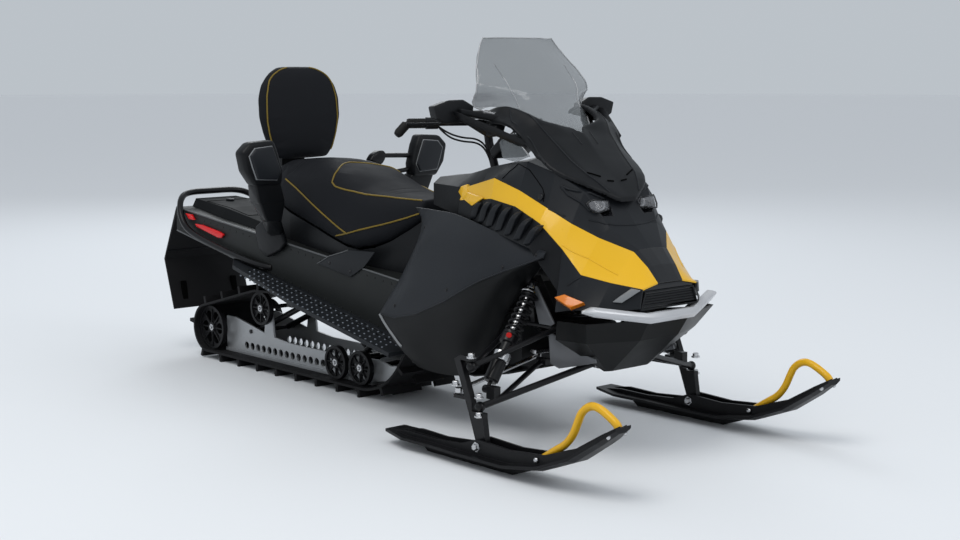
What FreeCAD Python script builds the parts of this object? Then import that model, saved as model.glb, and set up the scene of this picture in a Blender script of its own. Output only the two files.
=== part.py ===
import FreeCAD
import Part
import Sketcher
import math
import os

from FreeCAD import Placement, Rotation, Vector

# A two-up touring snowmobile. X runs forward, Y to the rider's left and Z up.
# The origin is on the floor, in the centre plane, halfway along the overall length.

# Driving dimensions in millimetres. Stations run along X, levels along Z and sides along Y.
SIZES = {
    # Skis: moulded runners with a keel, a pair of side walls and a tube loop at the tip
    "ski_side": 538.5,
    "ski_half_width": 70,
    "ski_bolt_station": 980,
    "ski_bolt_level": 70,
    "ski_bolt_radius": 8,
    "ski_tail_station": 508,
    "ski_tip_station": 1612,
    "ski_tip_level": 232,
    "ski_sole_level": 24,
    "ski_sole_thickness": 10,
    "ski_wall_height": 72,
    "ski_wall_thickness": 9,
    "ski_channel_half": 24,
    "keel_half_width": 9,
    "keel_start": 700,
    "keel_end": 1130,
    "ski_loop_radius": 10,
    "ski_loop_base_station": 1246,
    "ski_loop_base_level": 62,
    "ski_loop_top_station": 1478,
    "ski_loop_top_level": 282,
    "ski_loop_front_station": 1598,
    "ski_loop_front_level": 236,
    "ski_loop_bend": 34,
    # Spindles, on a kingpin that leans back
    "kingpin_low_station": 970,
    "kingpin_low_level": 172,
    "kingpin_high_station": 912,
    "kingpin_high_level": 356,
    "spindle_thickness": 22,
    "spindle_clearance": 20,
    "spindle_blade_width": 30,
    "spindle_eye_height": 16,
    "steer_arm_length": 100,
    "steer_arm_level": 214,
    "steer_arm_thickness": 12,
    "ball_radius": 18,
    "ball_gap": 0.4,
    # Front suspension arms, coil springs and shocks
    "arm_tube_radius": 9.5,
    "pivot_radius": 14,
    "pivot_half_length": 17,
    "pivot_pin_radius": 8,
    "upper_arm_front_station": 1002,
    "upper_arm_rear_station": 800,
    "upper_arm_inner_side": 214,
    "upper_arm_inner_level": 433,
    "lower_arm_front_station": 1090,
    "lower_arm_front_side": 128,
    "lower_arm_front_level": 312,
    "lower_arm_rear_station": 856,
    "lower_arm_rear_side": 150,
    "lower_arm_rear_level": 291,
    "shock_top_side": 226,
    "shock_top_level": 578,
    "shock_foot_station": 930,
    "shock_foot_side": 478,
    "shock_foot_level": 246,
    "shock_body_radius": 21,
    "shock_rod_radius": 7,
    "shock_eye_radius": 14,
    "shock_eye_width": 22,
    "shock_pin_radius": 6,
    "spring_radius": 27,
    "spring_wire_radius": 4.5,
    "spring_collar_radius": 32,
    "spring_collar_thickness": 5,
    "tie_rod_radius": 8,
    "tie_rod_inner_side": 126,
    "tie_rod_inner_level": 300,
    "tie_rod_inner_station": 810,
    "tie_rod_gap": 6,
    "link_thickness": 14,
    "link_width": 36,
    # Front frame that carries the arms and the shock tops
    "bulkhead_front_station": 1084,
    "bulkhead_rear_station": 868,
    "bulkhead_half_width": 112,
    "bulkhead_low_level": 286,
    "bulkhead_top_level": 420,
    "bulkhead_wall": 8,
    "tower_thickness": 22,
    "tower_half_width": 214,
    "tower_top_level": 604,
    "ear_thickness": 12,
    "frame_tube_side": 203,
    "frame_tube_level": 462,
    "frame_tube_radius": 10,
    "bumper_arm_side": 80,
    "bumper_arm_radius": 8,
    "guide_half_width": 24,
    # Engine as one plain block, and the tray below it
    "engine_front_station": 780,
    "engine_rear_station": 380,
    "engine_half_width": 175,
    "engine_low_level": 262,
    "engine_top_level": 560,
    "tray_level": 212,
    "tray_thickness": 5,
    "tray_front_station": 800,
    "tray_front_level": 248,
    # Tunnel and running boards
    "tunnel_front_station": 264,
    "tunnel_rear_station": -1488,
    "tunnel_half_width": 210,
    "tunnel_sheet": 3,
    "tunnel_top_front_level": 494,
    "tunnel_top_rear_level": 681,
    "tunnel_low_front_level": 247,
    "tunnel_low_rear_level": 572,
    "board_front_station": 262,
    "board_waist_station": -369,
    "board_step_station": -892,
    "board_rear_station": -1016,
    "board_front_side": 370,
    "board_waist_side": 360,
    "board_step_side": 300,
    "board_thickness": 16,
    "board_gap": 0.3,
    "board_slot_length": 34,
    "board_slot_width": 16,
    "board_slot_pitch": 62,
    # Track loop
    "track_pitch": 72.64,
    "track_half_width": 190.5,
    "belt_thickness": 10,
    "lug_height": 32,
    "lug_thickness": 15,
    "lug_centre_half": 72,
    "lug_side_inner": 84,
    "drive_radius": 86,
    "drive_level": 325,
    "rear_axle_station": -1286,
    "rear_wheel_radius": 100,
    "upper_idler_station": -890,
    "upper_idler_level": 275,
    "upper_idler_radius": 74,
    "rail_curve_station": -150,
    "rail_curve_radius": 300,
    "wheel_gap": 0.3,
    # Slide rails and wheels
    "rail_side": 115,
    "rail_thickness": 9,
    "shoe_height": 14,
    "shoe_half_width": 13,
    "rail_rear_station": -1226,
    "rail_tip_station": 46,
    "rail_tip_level": 146,
    "rail_height": 80,
    "rail_plate_level": 200,
    "wheel_width": 22,
    "wheel_side": 154,
    "axle_radius": 9,
    "axle_gap": 0.3,
    "lower_wheel_radius": 70.5,
    "lower_wheel_rear_station": -350,
    "lower_wheel_front_station": -186,
    "wheel_rim": 12,
    "wheel_web": 6,
    "wheel_hub_radius": 24,
    # Skid arms and shock
    "front_arm_top_station": -40,
    "front_arm_top_level": 330,
    "front_arm_foot_station": -300,
    "front_arm_foot_level": 122,
    "rear_arm_top_station": -600,
    "rear_arm_top_level": 338,
    "rear_arm_foot_station": -1030,
    "rear_arm_foot_level": 150,
    "skid_tube_radius": 13,
    "skid_arm_side": 80,
    "drop_bracket_thickness": 8,
    "drop_bracket_half_width": 50,
    "skid_shock_radius": 24,
    # Body panels of the bonnet
    "body_rear_station": 480,
    "body_length": 860,
    "body_half_width": 330,
    "body_low_level": 500,
    "body_height": 530,
    "panel_thickness": 5,
    "panel_gap": 0.15,
    "belly_front_station": 1322,
    "belly_rear_station": 1112,
    "belly_low_level": 287,
    "belly_half_width": 345,
    "grille_depth": 40,
    "grille_bar_height": 7,
    "bumper_front_station": 1341,
    "bumper_bend_side": 110,
    "bumper_end_side": 335,
    "bumper_end_station": 1246,
    "bumper_level": 505,
    "bumper_height": 34,
    "bumper_thickness": 26,
    "lamp_width": 62,
    "lamp_height": 44,
    "lamp_depth": 30,
    "lamp_scoop_depth": 56,
    # Windshield and its base
    "base_depth": 16,
    "screen_thickness": 4,
    # Side panels
    "side_panel_thickness": 6,
    # Console and steering
    "steer_station": 414,
    "steer_level": 1040,
    "post_radius": 16,
    "post_gap": 0.4,
    "post_low_length": 200,
    "bar_radius": 11,
    "bar_end_station": 290,
    "bar_end_side": 345,
    "bar_end_level": 1075,
    "bar_bend_station": 296,
    "bar_bend_side": 300,
    "bar_level": 1117,
    "bar_inner_side": 90,
    "bar_inner_station": 400,
    "grip_radius": 17,
    "grip_length": 125,
    "switch_box": 44,
    "lever_radius": 5,
    "bar_clamp": 44,
    "console_rear_station": 236,
    # Mirrors
    "mirror_depth": 46,
    "mirror_arm_radius": 11,
    # Seat, backrest and hand guards
    "seat_front_station": 140,
    "seat_rear_station": -790,
    "seat_half_width": 212,
    "seat_low_level": 596,
    "seat_top_level": 934,
    "seat_base_gap": 0.3,
    "backrest_station": -812,
    "backrest_half_width": 200,
    "backrest_low_level": 938,
    "backrest_top_level": 1318,
    "backrest_thickness": 86,
    "backrest_bracket_thickness": 24,
    "guard_top_level": 1034,
    "guard_low_level": 860,
    "guard_side": 420,
    "guard_station": -470,
    "guard_thickness": 30,
    "guard_bar_radius": 11,
    "guard_arm_thickness": 14,
    "guard_foot_station": -650,
    "guard_foot_level": 520,
    # Rear: deck, bar, lamps and snow flap
    "deck_front_station": -892,
    "deck_rear_station": -1482,
    "deck_half_width": 160,
    "deck_height": 44,
    "rear_bar_radius": 11,
    "rear_bar_side": 221.3,
    "rear_bar_front_station": -800,
    "rear_bar_front_level": 540,
    "rear_bar_corner_station": -1454,
    "rear_bar_corner_level": 676,
    "rear_bar_cross_station": -1523,
    "rear_bar_cross_level": 744,
    "rear_bar_cross_side": 123,
    "rear_bar_bend": 60,
    "tail_lamp_height": 26,
    "tail_lamp_length": 360,
    "tail_lamp_thickness": 8,
    "flap_half_width": 208,
    "flap_top_level": 681,
    "flap_kink_station": -1612,
    "flap_kink_level": 431,
    "flap_low_station": -1538,
    "flap_low_level": 202,
    "flap_thickness": 6,
}

TRACK_ROWS = 48
GRILLE_BARS = 5
SPRING_TURNS = 6
WHEEL_SPOKES = 6
STEER_RAKE_DEGREES = 20

doc = FreeCAD.newDocument("snowmobile")
sheet = doc.addObject("Spreadsheet::Sheet", "Sizes")
for row, (alias, millimetres) in enumerate(SIZES.items(), start=1):
    sheet.set(f"A{row}", alias)
    sheet.set(f"B{row}", str(millimetres))
    sheet.setAlias(f"B{row}", alias)
doc.recompute()


class Dim:
    """A length of the sheet, or a sum of such lengths, as a value and as an expression."""

    def __init__(self, value, text):
        self.value = value
        self.text = text

    def joined(self, sign, other, value):
        other_text = other.text if isinstance(other, Dim) else repr(other)
        return Dim(value, f"({self.text} {sign} {other_text})")

    def __add__(self, other):
        return self.joined("+", other, self.value + float(other))

    def __sub__(self, other):
        return self.joined("-", other, self.value - float(other))

    def __mul__(self, other):
        return self.joined("*", other, self.value * float(other))

    def __truediv__(self, other):
        return self.joined("/", other, self.value / float(other))

    def __rmul__(self, other):
        return self * other

    def __neg__(self):
        return Dim(-self.value, f"(0 - {self.text})")

    def __float__(self):
        return float(self.value)


class Cells:
    """The sheet's cells by name, each read as a Dim."""

    def __getattr__(self, alias):
        return Dim(float(sheet.get(alias)), "Sizes." + alias)


size = Cells()
nodes = []


def point(station, side, level):
    """A point of the frame from three lengths."""
    return Vector(float(station), float(side), float(level))


def shape_node(name, shape):
    """Keep a shape that Part's own functions made as one named sub-part."""
    feature = doc.addObject("Part::Feature", name)
    feature.Label = name
    feature.Shape = shape
    feature.Placement = Placement()
    nodes.append(feature)
    return feature


def body_node(name):
    """Start a named sub-part that sketches and features shape."""
    body = doc.addObject("PartDesign::Body", name)
    body.Label = name
    nodes.append(body)
    return body


def outline(body, name, role, corners):
    """Sketch a closed outline of straight edges, each corner tied to the sheet."""
    sketch = body.newObject("Sketcher::SketchObject", name)
    plane = [entry for entry in body.Origin.OriginFeatures if entry.Role == role][0]
    sketch.AttachmentSupport = [(plane, "")]
    sketch.MapMode = "FlatFace"
    count = len(corners)
    for index in range(count):
        here = corners[index]
        after = corners[(index + 1) % count]
        line = Part.LineSegment(point(here[0], here[1], 0), point(after[0], after[1], 0))
        sketch.addGeometry(line, False)
    for index in range(count):
        sketch.addConstraint(Sketcher.Constraint("Coincident", index, 2, (index + 1) % count, 1))
    for index, (across, along) in enumerate(corners):
        for kind, length in (("DistanceX", across), ("DistanceY", along)):
            if not isinstance(length, Dim):
                axis = -2 if kind == "DistanceX" else -1
                sketch.addConstraint(Sketcher.Constraint("PointOnObject", index, 1, axis))
                continue
            bound = Sketcher.Constraint(kind, -1, 1, index, 1, float(length))
            number = sketch.addConstraint(bound)
            label = f"{kind}{index}"
            sketch.renameConstraint(number, label)
            sketch.setExpression(f"Constraints.{label}", length.text)
    return sketch


def pad(body, name, sketch, length, midplane=True):
    """Raise a sketch into a solid of the given length."""
    feature = body.newObject("PartDesign::Pad", name)
    feature.Profile = sketch
    feature.Midplane = midplane
    feature.setExpression("Length", length.text)
    return feature


def pocket(body, name, sketch, length):
    """Cut a sketch through the solid, half of the length to each side."""
    feature = body.newObject("PartDesign::Pocket", name)
    feature.Profile = sketch
    feature.Midplane = True
    feature.setExpression("Length", length.text)
    return feature


def both_sides(shape):
    """A right-hand shape and its mirror image as one compound of separate solids."""
    return Part.makeCompound([shape, left_of(shape)])


def left_of(shape):
    """The mirror image of a shape across the centre plane."""
    return shape.mirror(Vector(0, 0, 0), Vector(0, 1, 0))


def mirrored_line(line):
    """The left-hand copy of a line across the body."""
    return [Vector(spot.x, -spot.y, spot.z) for spot in line]


def rod(start, end, radius):
    """A straight round bar between two points."""
    run = end.sub(start)
    return Part.makeCylinder(float(radius), run.Length, start, run)


def bent_tube(points, radius, bend):
    """A round bar along straight runs joined by tangent arcs."""
    edges = []
    start = points[0]
    for before, corner, after in zip(points, points[1:], points[2:]):
        into = corner.sub(before).normalize()
        out = after.sub(corner).normalize()
        half_turn = into.getAngle(out) / 2
        reach = float(bend) * math.tan(half_turn)
        first = corner.sub(into * reach)
        last = corner.add(out * reach)
        bisector = out.sub(into).normalize()
        sagitta = float(bend) * (1 / math.cos(half_turn) - 1)
        middle = corner.add(bisector * sagitta)
        edges.append(Part.LineSegment(start, first).toShape())
        edges.append(Part.Arc(first, middle, last).toShape())
        start = last
    edges.append(Part.LineSegment(start, points[-1]).toShape())
    path = Part.Wire(edges)
    direction = points[1].sub(points[0])
    section = Part.Wire(Part.makeCircle(float(radius), points[0], direction))
    return path.makePipeShell([section], True, False)


def plate(corners, thickness_vector):
    """A flat plate from its corner points and the vector of its thickness."""
    face = Part.Face(Part.makePolygon(corners + corners[:1]))
    return face.extrude(thickness_vector)


def slab(corners_xz, side_from, side_to):
    """A plate from an outline in the side view, between two sides."""
    corners = [point(station, side_from, level) for station, level in corners_xz]
    width = float(side_to) - float(side_from)
    return plate(corners, Vector(0, width, 0))


def block(station_from, station_to, side_from, side_to, level_from, level_to):
    """A box between two stations, sides and levels."""
    low = point(station_from, side_from, level_from)
    high = point(station_to, side_to, level_to)
    run = high.sub(low)
    return Part.makeBox(run.x, run.y, run.z, low)


def ruled_loft(rings):
    """A solid through rings of points, each ring closed by straight edges."""
    wires = [Part.makePolygon(ring + ring[:1]) for ring in rings]
    return Part.makeLoft(wires, True, True)


def blended(before, start, end, after, share):
    """A value or a row of values on the smooth curve between two of a table's rows."""
    if isinstance(start, tuple):
        return tuple(blended(*four, share) for four in zip(before, start, end, after))
    bend = (before * 2 - start * 5 + end * 4 - after) * share ** 2
    twist = (start * 3 - before - end * 3 + after) * share ** 3
    return (start * 2 + (end - before) * share + bend + twist) / 2


def finer(rows, steps):
    """The rows of a table with more between them, on smooth curves through the given ones."""
    whole = [rows[0]] + list(rows) + [rows[-1]]
    made = []
    for index in range(len(rows) - 1):
        four = whole[index:index + 4]
        made += [blended(*four, step / steps) for step in range(steps)]
    return made + [rows[-1]]


def round_corners(corners, steps):
    """A closed row of corner shares joined by a smooth curve."""
    whole = [corners[-1]] + list(corners) + list(corners[:2])
    made = []
    for index in range(len(corners)):
        made += [blended(*whole[index:index + 4], step / steps) for step in range(steps)]
    return made


def fused(shapes):
    """One solid from shapes that touch or cross."""
    return shapes[0].multiFuse(shapes[1:]).removeSplitter()


# Tunnel: a folded sheet channel, open below and behind, that carries the seat and the boards
def make_tunnel():
    body = body_node("tunnel")
    front = size.tunnel_front_station
    rear = size.tunnel_rear_station
    skin = outline(body, "tunnel_side_view", "XZ_Plane", [
        (rear, size.tunnel_low_rear_level),
        (front, size.tunnel_low_front_level),
        (front, size.tunnel_top_front_level),
        (rear, size.tunnel_top_rear_level)])
    pad(body, "tunnel_block", skin, size.tunnel_half_width * 2)
    sheet_metal = size.tunnel_sheet
    hollow = outline(body, "tunnel_hollow_view", "XZ_Plane", [
        (rear - sheet_metal, size.tunnel_low_rear_level - size.tunnel_half_width),
        (front - sheet_metal, size.tunnel_low_front_level - size.tunnel_half_width),
        (front - sheet_metal, size.tunnel_top_front_level - sheet_metal),
        (rear - sheet_metal, size.tunnel_top_rear_level - sheet_metal)])
    pocket(body, "tunnel_hollow", hollow, (size.tunnel_half_width - sheet_metal) * 2)
    station = size.rear_arm_top_station
    wide = size.drop_bracket_half_width
    narrow = size.skid_tube_radius * 1.5
    low = size.rear_arm_top_level - narrow
    high = tunnel_low(station) + wide
    corners = [(station - wide, high), (station - narrow, low), (station + narrow, low), (station + wide, high)]
    drop = outline(body, "drop_bracket_view", "XZ_Plane", corners)
    pad(body, "drop_brackets", drop, size.tunnel_half_width * 2)
    gap = outline(body, "drop_bracket_gap_view", "XZ_Plane", [
        (station - wide * 2, high + sheet_metal), (station - wide * 2, low - sheet_metal),
        (station + wide * 2, low - sheet_metal), (station + wide * 2, high + sheet_metal)])
    pocket(body, "drop_bracket_gap", gap, (size.tunnel_half_width - size.drop_bracket_thickness) * 2)


def tunnel_top(station):
    """Level of the tunnel's top face at a station."""
    run = size.tunnel_front_station - size.tunnel_rear_station
    share = float(station - size.tunnel_rear_station) / float(run)
    rise = size.tunnel_top_front_level - size.tunnel_top_rear_level
    return size.tunnel_top_rear_level + rise * share


def tunnel_low(station):
    """Level of the tunnel's lower edge at a station."""
    run = size.tunnel_front_station - size.tunnel_rear_station
    share = float(station - size.tunnel_rear_station) / float(run)
    rise = size.tunnel_low_front_level - size.tunnel_low_rear_level
    return size.tunnel_low_rear_level + rise * share


# Running boards: perforated footrests along the tunnel's lower edges
def make_running_boards():
    inner = size.tunnel_half_width + size.board_gap
    places = [
        (size.board_front_station, inner),
        (size.board_front_station, size.board_front_side),
        (size.board_waist_station, size.board_waist_side),
        (size.board_step_station, size.board_step_side),
        (size.board_rear_station, inner)]
    corners = [point(station, -side, tunnel_low(station)) for station, side in places]
    board = plate(corners, Vector(0, 0, float(size.board_thickness)))
    cuts = []
    rows = 2
    length = float(size.board_front_station - size.board_step_station)
    count = int(length / float(size.board_slot_pitch)) - 1
    for row in range(rows):
        side = inner + (size.board_step_side - inner) * ((row + 1) / (rows + 1))
        for index in range(count):
            station = size.board_front_station - size.board_slot_pitch * (index + 1)
            level = tunnel_low(station)
            cut = block(station - size.board_slot_length / 2, station + size.board_slot_length / 2,
                        -side - size.board_slot_width / 2, -side + size.board_slot_width / 2,
                        level - size.board_thickness * 2, level + size.board_thickness * 3)
            cuts.append(cut)
    board = board.cut(cuts)
    shape_node("running_boards", both_sides(board))


# Track: one belt around the rear wheels, the slide rails, the drive wheels and the upper idlers
def belt_circles(drive_station):
    """Centre station, centre level and radius of each circle that the belt's inner face follows."""
    ground = float(size.lug_height + size.belt_thickness)
    rear = float(size.rear_wheel_radius + size.wheel_gap)
    curve = float(size.rail_curve_radius)
    return [
        (float(size.rear_axle_station), ground + rear, rear),
        (float(size.rail_curve_station), ground + curve, curve),
        (drive_station, float(size.drive_level), float(size.drive_radius)),
        (float(size.upper_idler_station), float(size.upper_idler_level),
         float(size.upper_idler_radius + size.wheel_gap))]


def belt_runs(circles, grow=0):
    """The belt's straight runs, in order, each as its two tangent points and its heading."""
    runs = []
    for index, (x_from, z_from, r_from) in enumerate(circles):
        x_to, z_to, r_to = circles[(index + 1) % len(circles)]
        reach = math.hypot(x_to - x_from, z_to - z_from)
        heading = math.atan2(z_to - z_from, x_to - x_from) + math.asin((r_from - r_to) / reach)
        out = Vector(math.sin(heading), 0, -math.cos(heading))
        start = Vector(x_from, 0, z_from) + out * (r_from + grow)
        end = Vector(x_to, 0, z_to) + out * (r_to + grow)
        runs.append((start, end, heading))
    return runs


def belt_length(drive_station, grow):
    """Length once round the belt, measured this far outside its inner face."""
    circles = belt_circles(drive_station)
    runs = belt_runs(circles, grow)
    total = sum((end - start).Length for start, end, heading in runs)
    for index, (start, end, heading) in enumerate(runs):
        turn = (heading - runs[index - 1][2]) % (2 * math.pi)
        total += turn * (circles[index][2] + grow)
    return total


def find_drive_station():
    """Station of the drive axle at which the belt is as long as its rows of lugs."""
    wanted = float(size.track_pitch) * TRACK_ROWS
    grow = float(size.belt_thickness) / 2
    near = float(size.rail_curve_station)
    far = near + float(size.rail_curve_radius) * 3
    for step in range(60):
        middle = (near + far) / 2
        if belt_length(middle, grow) < wanted:
            near = middle
        else:
            far = middle
    return middle


DRIVE_STATION = find_drive_station()


def belt_wire(grow):
    """Closed wire of the belt's side view, this far outside its inner face."""
    circles = belt_circles(DRIVE_STATION)
    runs = belt_runs(circles, grow)
    edges = []
    for index, (start, end, heading) in enumerate(runs):
        x, z, radius = circles[index]
        before = runs[index - 1]
        turn = (heading - before[2]) % (2 * math.pi)
        middle_heading = before[2] + turn / 2
        out = Vector(math.sin(middle_heading), 0, -math.cos(middle_heading))
        middle = Vector(x, 0, z) + out * (radius + grow)
        edges.append(Part.Arc(before[1], middle, start).toShape())
        edges.append(Part.LineSegment(start, end).toShape())
    return Part.Wire(edges)


def belt_place(along, grow):
    """Point and heading on the belt after a run along it from the rear wheel's first tangent."""
    circles = belt_circles(DRIVE_STATION)
    runs = belt_runs(circles, grow)
    for index, (start, end, heading) in enumerate(runs):
        length = (end - start).Length
        if along <= length:
            return start + (end - start) * (along / length), heading
        along -= length
        x, z, radius = circles[(index + 1) % len(circles)]
        turn = (runs[(index + 1) % len(runs)][2] - heading) % (2 * math.pi)
        if along <= turn * (radius + grow):
            reached = heading + along / (radius + grow)
            out = Vector(math.sin(reached), 0, -math.cos(reached))
            return Vector(x, 0, z) + out * (radius + grow), reached
        along -= turn * (radius + grow)
    return runs[0][0], runs[0][2]


def make_track():
    thickness = float(size.belt_thickness)
    half = float(size.track_half_width)
    outer = Part.Face(belt_wire(thickness))
    inner = Part.Face(belt_wire(0))
    belt = outer.cut(inner)
    belt.translate(Vector(0, -half, 0))
    belt = belt.extrude(Vector(0, 2 * half, 0))
    lugs = []
    bite = thickness / 2
    bands = ([(-size.lug_centre_half, size.lug_centre_half)],
             [(-size.track_half_width, -size.lug_side_inner),
              (size.lug_side_inner, size.track_half_width)])
    pitch = belt_length(DRIVE_STATION, bite) / TRACK_ROWS
    for row in range(TRACK_ROWS):
        place, heading = belt_place((row + 0.5) * pitch, bite)
        for low, high in bands[row % len(bands)]:
            lug = Part.makeBox(float(size.lug_thickness), float(high - low),
                               float(size.lug_height) + bite,
                               Vector(-float(size.lug_thickness) / 2, float(low),
                                      -float(size.lug_height) - bite))
            turn = Rotation(Vector(0, 1, 0), -math.degrees(heading))
            lug.Placement = Placement(place, turn).multiply(lug.Placement)
            lugs.append(lug)
    shape_node("track", belt.multiFuse(lugs))


# Wheels of the skid: spoked discs with a rim and a hub, each pair on its axle
def wheel(station, side, level, radius):
    """One idler wheel with six windows, standing in a side plane."""
    width = float(size.wheel_width)
    centre = point(station, side, level)
    across = Vector(0, 1, 0)
    start = centre - across * (width / 2)
    tread = Part.makeCylinder(float(radius), width, start, across)
    rim_cut = Part.makeCylinder(float(radius - size.wheel_rim), width, start, across)
    web = Part.makeCylinder(float(radius), float(size.wheel_web),
                            centre - across * (float(size.wheel_web) / 2), across)
    hub = Part.makeCylinder(float(size.wheel_hub_radius), width, start, across)
    windows = []
    middle = (float(radius - size.wheel_rim) + float(size.wheel_hub_radius)) / 2
    opening = (float(radius - size.wheel_rim) - float(size.wheel_hub_radius)) / 2.6
    for index in range(WHEEL_SPOKES):
        angle = 2 * math.pi * index / WHEEL_SPOKES
        spot = start + Vector(math.cos(angle), 0, math.sin(angle)) * middle
        windows.append(Part.makeCylinder(opening, width, spot, across))
    return fused([tread.cut(rim_cut), web, hub]).cut(windows)


def wheel_pair(station, level, radius):
    """Two wheels on one axle, as a single solid."""
    side = float(size.wheel_side)
    reach = side + float(size.wheel_width) / 2
    axle = rod(point(station, -reach, level), point(station, reach, level), size.axle_radius)
    return fused([wheel(station, -side, level, radius), wheel(station, side, level, radius), axle])


def ground_level(radius):
    """Axle level of a wheel that rolls on the belt's lower run."""
    return size.lug_height + size.belt_thickness + size.wheel_gap + radius


def make_wheels():
    pairs = [wheel_pair(size.rear_axle_station, ground_level(size.rear_wheel_radius),
                        size.rear_wheel_radius),
             wheel_pair(size.upper_idler_station, size.upper_idler_level, size.upper_idler_radius)]
    for station in (size.lower_wheel_rear_station, size.lower_wheel_front_station):
        pairs.append(wheel_pair(station, ground_level(size.lower_wheel_radius),
                                size.lower_wheel_radius))
    shape_node("idler_wheels", Part.makeCompound(pairs))
    reach = float(size.tunnel_half_width - size.tunnel_sheet - size.wheel_gap)
    axle = rod(point(DRIVE_STATION, -reach, size.drive_level),
               point(DRIVE_STATION, reach, size.drive_level), size.axle_radius)
    radius = float(size.drive_radius - size.wheel_gap)
    discs = []
    for side in (-float(size.rail_side), float(size.rail_side)):
        discs.append(Part.makeCylinder(radius, float(size.wheel_width), point(
            DRIVE_STATION, side - float(size.wheel_width) / 2, size.drive_level), Vector(0, 1, 0)))
    shape_node("drive_axle", fused([axle] + discs))


# Slide rails: two upright plates that curve up ahead, each on a shoe that rides in the belt
def rail_outline():
    """Corners of one rail's side view, from its rear foot forward and back along its top."""
    foot = size.lug_height + size.belt_thickness + size.wheel_gap + size.shoe_height
    top = foot + size.rail_height
    rear = size.rail_rear_station
    return [
        (rear, foot),
        (size.rail_curve_station, foot),
        (size.rail_curve_station + size.rail_height, foot + size.shoe_height),
        (size.rail_tip_station - size.rail_height / 2, size.rail_tip_level - size.rail_height / 2),
        (size.rail_tip_station, size.rail_tip_level),
        (size.rail_tip_station - size.rail_height, top),
        (size.lower_wheel_front_station + size.lower_wheel_radius, top + size.shoe_height),
        (size.lower_wheel_rear_station - size.lower_wheel_radius, top),
        (size.upper_idler_station + size.rail_height * 2, top),
        (size.upper_idler_station, top + size.shoe_height),
        (rear + size.rail_height, size.rail_plate_level),
        (rear, size.rail_plate_level)]


def make_rails():
    corners = rail_outline()
    inner = size.rail_side - size.rail_thickness / 2
    outer = size.rail_side + size.rail_thickness / 2
    rail = slab(corners, -outer, -inner)
    foot = corners[0][1]
    low = size.lug_height + size.belt_thickness + size.wheel_gap
    shoe = block(corners[0][0], size.rail_curve_station,
                 -size.rail_side - size.shoe_half_width, -size.rail_side + size.shoe_half_width,
                 low, foot)
    idler = size.upper_idler_station
    high = size.upper_idler_level
    post = slab([(idler - size.rail_height / 2, corners[0][1] + size.rail_height * 0.9),
                 (idler + size.rail_height / 2, corners[0][1] + size.rail_height * 0.9),
                 (idler + size.axle_radius * 2, high + size.axle_radius * 2),
                 (idler - size.axle_radius * 2, high + size.axle_radius * 2)], -outer, -inner)
    rail = fused([rail, shoe, post])
    bores = []
    spots = [(size.lower_wheel_rear_station, ground_level(size.lower_wheel_radius)),
             (size.lower_wheel_front_station, ground_level(size.lower_wheel_radius))]
    spots.append((size.front_arm_foot_station, size.front_arm_foot_level))
    spots.append((size.rear_arm_foot_station, size.rear_arm_foot_level))
    spots.append((size.upper_idler_station, size.upper_idler_level))
    for station, level in spots:
        radius = size.axle_radius + size.axle_gap
        bores.append(rod(point(station, -outer - radius, level),
                         point(station, -inner + radius, level), radius))
    lightening = float(size.rail_height) / 5
    gap = float(size.rail_height) * 0.55
    station = float(size.rail_rear_station) + float(size.rail_height) * 2
    while station < float(size.lower_wheel_rear_station - size.lower_wheel_radius):
        bores.append(rod(point(station, -outer - lightening, foot + size.rail_height / 3),
                         point(station, -inner + lightening, foot + size.rail_height / 3),
                         lightening))
        station += gap
    shape_node("slide_rails", both_sides(rail.cut(bores)))


# Skid arms: tube frames between the tunnel and the rails, and the shock between them
def skid_arm(top_station, top_level, foot_station, foot_level, reach):
    """One tube frame: a top shaft, a foot axle and two legs."""
    foot_reach = size.rail_side + size.rail_thickness
    parts = [rod(point(top_station, -reach, top_level), point(top_station, reach, top_level),
                 size.skid_tube_radius),
             rod(point(foot_station, -foot_reach, foot_level),
                 point(foot_station, foot_reach, foot_level), size.axle_radius)]
    for side in (-size.skid_arm_side, size.skid_arm_side):
        parts.append(rod(point(top_station, side, top_level),
                         point(foot_station, side, foot_level), size.skid_tube_radius))
    return fused(parts)


def make_skid():
    wall = size.tunnel_half_width - size.wheel_gap
    front = skid_arm(size.front_arm_top_station, size.front_arm_top_level,
                     size.front_arm_foot_station, size.front_arm_foot_level,
                     wall - size.tunnel_sheet)
    rear = skid_arm(size.rear_arm_top_station, size.rear_arm_top_level,
                    size.rear_arm_foot_station, size.rear_arm_foot_level,
                    wall - size.drop_bracket_thickness)
    shape_node("skid_arms", Part.makeCompound([front, rear]))
    top = point(size.rear_arm_top_station, 0, size.rear_arm_top_level)
    foot = point(size.front_arm_foot_station, 0, size.front_arm_foot_level)
    across = Vector(0, float(size.skid_shock_radius), 0)
    run = foot - top
    top_eye = size.skid_tube_radius * 1.6
    foot_eye = size.axle_radius * 2
    body_share = 0.45
    shock = fused([
        rod(top, top + run * body_share, size.skid_shock_radius),
        rod(top + run * body_share, foot, size.axle_radius),
        rod(top - across, top + across, top_eye), rod(foot - across, foot + across, foot_eye)])
    bores = [rod(top - across * 2, top + across * 2, size.skid_tube_radius + size.axle_gap),
             rod(foot - across * 2, foot + across * 2, size.axle_radius + size.axle_gap)]
    shape_node("skid_shock", shock.cut(bores))


make_tunnel()
doc.recompute()
make_running_boards()
make_track()
make_wheels()
make_rails()
make_skid()


# Bumper: shares of its height and thickness at its blunt ends, where its taper starts, and between
bumper_end_shares = (0.3, 0.5)
bumper_taper_share = 0.82


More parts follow.
